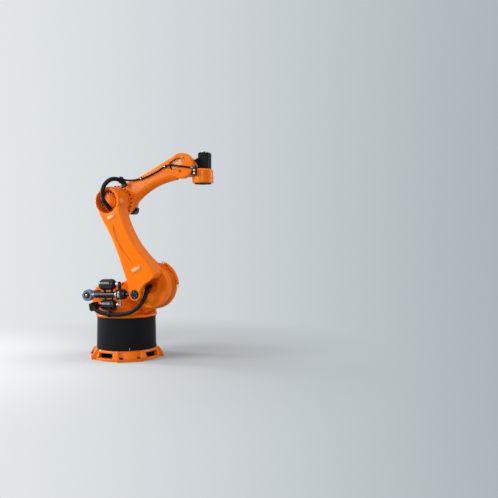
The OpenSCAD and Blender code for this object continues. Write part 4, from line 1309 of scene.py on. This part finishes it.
@dataclass
class Lines(Group):
    """The two ribbed hoses and the wrist cable, with route points in millimetres."""

    lower: tuple[Point, ...] = (
        (-262, -466, 756), (-196, -484, 708), (-110, -490, 680), (-20, -490, 668),
        (100, -490, 662), (240, -486, 676), (360, -470, 716), (450, -440, 790),
    )
    lower_end: tuple[Point, ...] = ((0, -382, -155), (10, -345, -65), (4, -290, -10), (0, -220, 0))
    upper: tuple[Point, ...] = (
        (-36, -398, -104), (-34, -462, -34), (-28, -506, 34), (0, -520, 114),
        (56, -522, 184), (108, -480, 236), (152, -404, 266), (178, -326, 264),
    )
    upper_end: tuple[Point, ...] = ((194, -261, 248),)
    cable: tuple[Point, ...] = (
        (234, -226, 236), (300, -216, 184), (400, -208, 140), (520, -206, 106),
        (640, -206, 92), (760, -206, 90), (880, -206, 96), (980, -208, 72),
        (1060, -212, 16), (1130, -210, -32), (1190, -207, -74), (1236, -203, -106),
    )
    hose_d: float = 62.0
    rib_pitch: float = 13.0
    rib_depth: float = 2.6
    cable_d: float = 27.0
    # The cable's sheath is nearly smooth
    sheath_pitch: float = 8.0
    sheath_depth: float = 0.4
    cable_sides: int = 14

    @staticmethod
    def points(frame: Matrix, route: Iterable[Point], rise: float = 0.0) -> list[Vector]:
        """Route points of a frame in the row frame.

        Args:
            frame: Frame of the group.
            route: Points in millimetres.
            rise: Height that is added to each point.

        Returns:
            Points in metres.
        """
        return [frame @ (Vector((x, y, z + rise)) * MM) for x, y, z in route]

    def build(self) -> None:
        """Makes the hoses and the cable."""
        frames = self.frames
        lower = self.points(frames.base, self.lower) + self.points(frames.shoulder, self.lower_end)
        upper = self.points(frames.link, self.upper, frames.link_length)
        upper += self.points(frames.forearm, self.upper_end)
        cable = self.points(frames.forearm, self.cable)
        ribbed = (self.hose_d, self.rib_pitch, self.rib_depth)
        plain = (self.cable_d, self.sheath_pitch, self.sheath_depth)
        hoses = (
            Hose("lower_ribbed_hose", "lower_hose", lower, *ribbed, ("column", "link"), (5, 11), "loose"),
            Hose("upper_ribbed_hose", "upper_hose", upper, *ribbed, ("link", "forearm"), (1, 8), "loose"),
            Hose(
                "wrist_cable_line", "wrist_cable", cable, *plain, ("forearm", "wrist"), (7, 11), "taut",
                self.cable_sides,
            ),
        )
        for hose in hoses:
            hose.build(self.dresser)


@dataclass(frozen=True)
class Softbox:
    """A square soft lamp, its place and side in metres and its power in watts."""

    name: str
    place: Point
    side: float
    power: float


@dataclass
class Studio:
    """Pale floor, soft lamps and the camera of the photograph."""

    camera_at: Point = (6.229, -7.423, 1.789)
    look: Point = (-0.491, 0.871, -0.0244)
    lens_mm: float = 47.4
    sensor_mm: float = 36.0
    # Painted shade on the floor and the backdrop: the surround goes from bright to dim along this direction,
    # over this share of it to each side
    across: Point = (0.871, 0.491, 0.0)
    spread: float = 0.36
    bright: str = "#E4E8EB"
    dim: str = "#ABB4B9"
    fill: float = 0.05
    floor_size: float = 120.0
    floor_roughness: float = 0.9
    # Paint of the floor as a share of the surround's colour
    floor_share: float = 0.8
    # Distances from the arm over which the lit floor goes over to the surround
    fade: tuple[float, float] = (1.0, 4.5)
    aim_at: Point = (0.3, 0.0, 1.4)
    softboxes: tuple[Softbox, ...] = (
        Softbox("key_softbox", (-4.4, -5.6, 5.0), 2.4, 400.0),
        Softbox("front_softbox", (5.0, -7.0, 4.6), 2.4, 270.0),
        Softbox("left_panel", (-6.6, -1.6, 2.6), 1.4, 340.0),
        Softbox("right_softbox", (5.6, 4.2, 3.6), 4.6, 280.0),
        Softbox("top_softbox", (0.5, -0.6, 7.5), 5.0, 180.0),
        Softbox("highlight_panel", (-2.7, -7.2, 3.4), 0.9, 130.0),
    )

    def build(self) -> None:
        """Sets the floor, the light and the camera."""
        self.floor()
        self.world()
        for box in self.softboxes:
            self.lamp(box)
        self.camera()
        bpy.context.scene.view_settings.view_transform = "Standard"

    def floor(self) -> None:
        """Adds the floor, which is not part of the object."""
        clear_selection()
        bpy.ops.mesh.primitive_plane_add(size=self.floor_size)
        floor = bpy.context.object
        floor.name = "floor"
        material, tree, shader = new_material("pale_floor")
        place = add_node(tree, "ShaderNodeTexCoord").outputs["Object"]
        sight = add_node(tree, "ShaderNodeVectorMath", {0: place, 1: self.camera_at}, operation="SUBTRACT")
        colour = self.painted_falloff(tree, sight.outputs["Vector"])
        lit = add_node(
            tree, "ShaderNodeVectorMath", {0: colour, "Scale": self.floor_share}, operation="SCALE"
        )
        tree.links.new(lit.outputs["Vector"], shader.inputs["Base Color"])
        shader.inputs["Roughness"].default_value = self.floor_roughness
        shader.inputs["Specular IOR Level"].default_value = 0.0
        shine = add_node(tree, "ShaderNodeEmission", {"Color": colour, "Strength": 1.0})
        reach = add_node(tree, "ShaderNodeVectorMath", {0: place}, operation="LENGTH")
        fade = add_node(
            tree,
            "ShaderNodeMapRange",
            {"Value": reach.outputs["Value"], "From Min": self.fade[0], "From Max": self.fade[1]},
            interpolation_type="SMOOTHSTEP",
        )
        share = add_node(
            tree, "ShaderNodeMath", {0: self.seen(tree), 1: fade.outputs["Result"]}, operation="MULTIPLY"
        )
        mix = add_node(
            tree, "ShaderNodeMixShader", {0: share.outputs[0], 1: shader.outputs[0], 2: shine.outputs[0]}
        )
        tree.links.new(mix.outputs[0], tree.nodes["Material Output"].inputs["Surface"])
        floor.data.materials.append(material)

    def painted_falloff(self, tree: bpy.types.NodeTree, sight: bpy.types.NodeSocket) -> bpy.types.NodeSocket:
        """Adds the colour of the surround, which falls off towards the right of the photograph.

        Args:
            tree: Node tree of the floor or of the world.
            sight: Direction in which the camera looks at the place.

        Returns:
            The colour there.
        """
        unit = add_node(tree, "ShaderNodeVectorMath", {0: sight}, operation="NORMALIZE")
        side = add_node(
            tree, "ShaderNodeVectorMath", {0: unit.outputs["Vector"], 1: self.across}, operation="DOT_PRODUCT"
        )
        share = add_node(
            tree,
            "ShaderNodeMapRange",
            {"Value": side.outputs["Value"], "From Min": -self.spread, "From Max": self.spread},
        )
        # Painted shade: the colour darkens from bright to dim towards the right
        tone = add_node(
            tree,
            "ShaderNodeMix",
            {0: share.outputs["Result"], 6: linear(self.bright), 7: linear(self.dim)},
            data_type="RGBA",
        )
        return tone.outputs[2]

    @staticmethod
    def seen(tree: bpy.types.NodeTree) -> bpy.types.NodeSocket:
        """Adds the share of rays that look at the surround, straight or in a reflection.

        Args:
            tree: Node tree of the floor or of the world.

        Returns:
            One for such a ray and zero for a ray that lights the arm.
        """
        rays = add_node(tree, "ShaderNodeLightPath").outputs
        straight = add_node(
            tree, "ShaderNodeMath", {0: rays["Is Camera Ray"], 1: rays["Is Glossy Ray"]}, operation="MAXIMUM"
        )
        through = rays["Is Transmission Ray"]
        either = add_node(tree, "ShaderNodeMath", {0: straight.outputs[0], 1: through}, operation="MAXIMUM")
        return either.outputs[0]

    def world(self) -> None:
        """Sets a pale surround that lights the arm weakly and shows as the backdrop."""
        world = bpy.data.worlds.new("studio")
        world.use_nodes = True
        tree = world.node_tree
        fill = add_node(tree, "ShaderNodeBackground", {"Color": linear(self.bright), "Strength": self.fill})
        sight = add_node(tree, "ShaderNodeTexCoord").outputs["Generated"]
        colour = self.painted_falloff(tree, sight)
        backdrop = add_node(tree, "ShaderNodeBackground", {"Color": colour, "Strength": 1.0})
        mix = add_node(
            tree,
            "ShaderNodeMixShader",
            {0: self.seen(tree), 1: fill.outputs[0], 2: backdrop.outputs[0]},
        )
        tree.links.new(mix.outputs[0], tree.nodes["World Output"].inputs["Surface"])
        bpy.context.scene.world = world

    def lamp(self, box: Softbox) -> None:
        """Adds a soft lamp that points at the arm.

        Args:
            box: The lamp's place, size and power.
        """
        data = bpy.data.lights.new(box.name, "AREA")
        data.shape = "SQUARE"
        data.size = box.side
        data.energy = box.power
        lamp = bpy.data.objects.new(box.name, data)
        lamp.location = box.place
        lamp.visible_camera = False
        aim = Vector(self.aim_at) - Vector(box.place)
        lamp.rotation_euler = aim.to_track_quat("-Z", "Y").to_euler()
        bpy.context.collection.objects.link(lamp)

    def camera(self) -> None:
        """Adds the camera of the photograph."""
        data = bpy.data.cameras.new("photo_camera")
        data.lens = self.lens_mm
        data.sensor_width = self.sensor_mm
        camera = bpy.data.objects.new("photo_camera", data)
        camera.location = self.camera_at
        camera.rotation_euler = Vector(self.look).to_track_quat("-Z", "Y").to_euler()
        bpy.context.collection.objects.link(camera)
        bpy.context.scene.camera = camera


def main() -> None:
    """Loads the frame, dresses each group and sets the studio."""
    logging.basicConfig(level=logging.INFO, format="%(name)s: %(message)s")
    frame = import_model()
    frames = Frames.from_joints(frame["joints"])
    dresser = Dresser(frame["nodes"])
    Studio().build()
    Lines(dresser, frames).build()
    for group in (BaseUnit, Column, Balancer, LinkArm, Forearm, Wrist):
        group(dresser, frames).build()
        log.info("group %s is done", group.__name__)


if __name__ == "__main__":
    main()
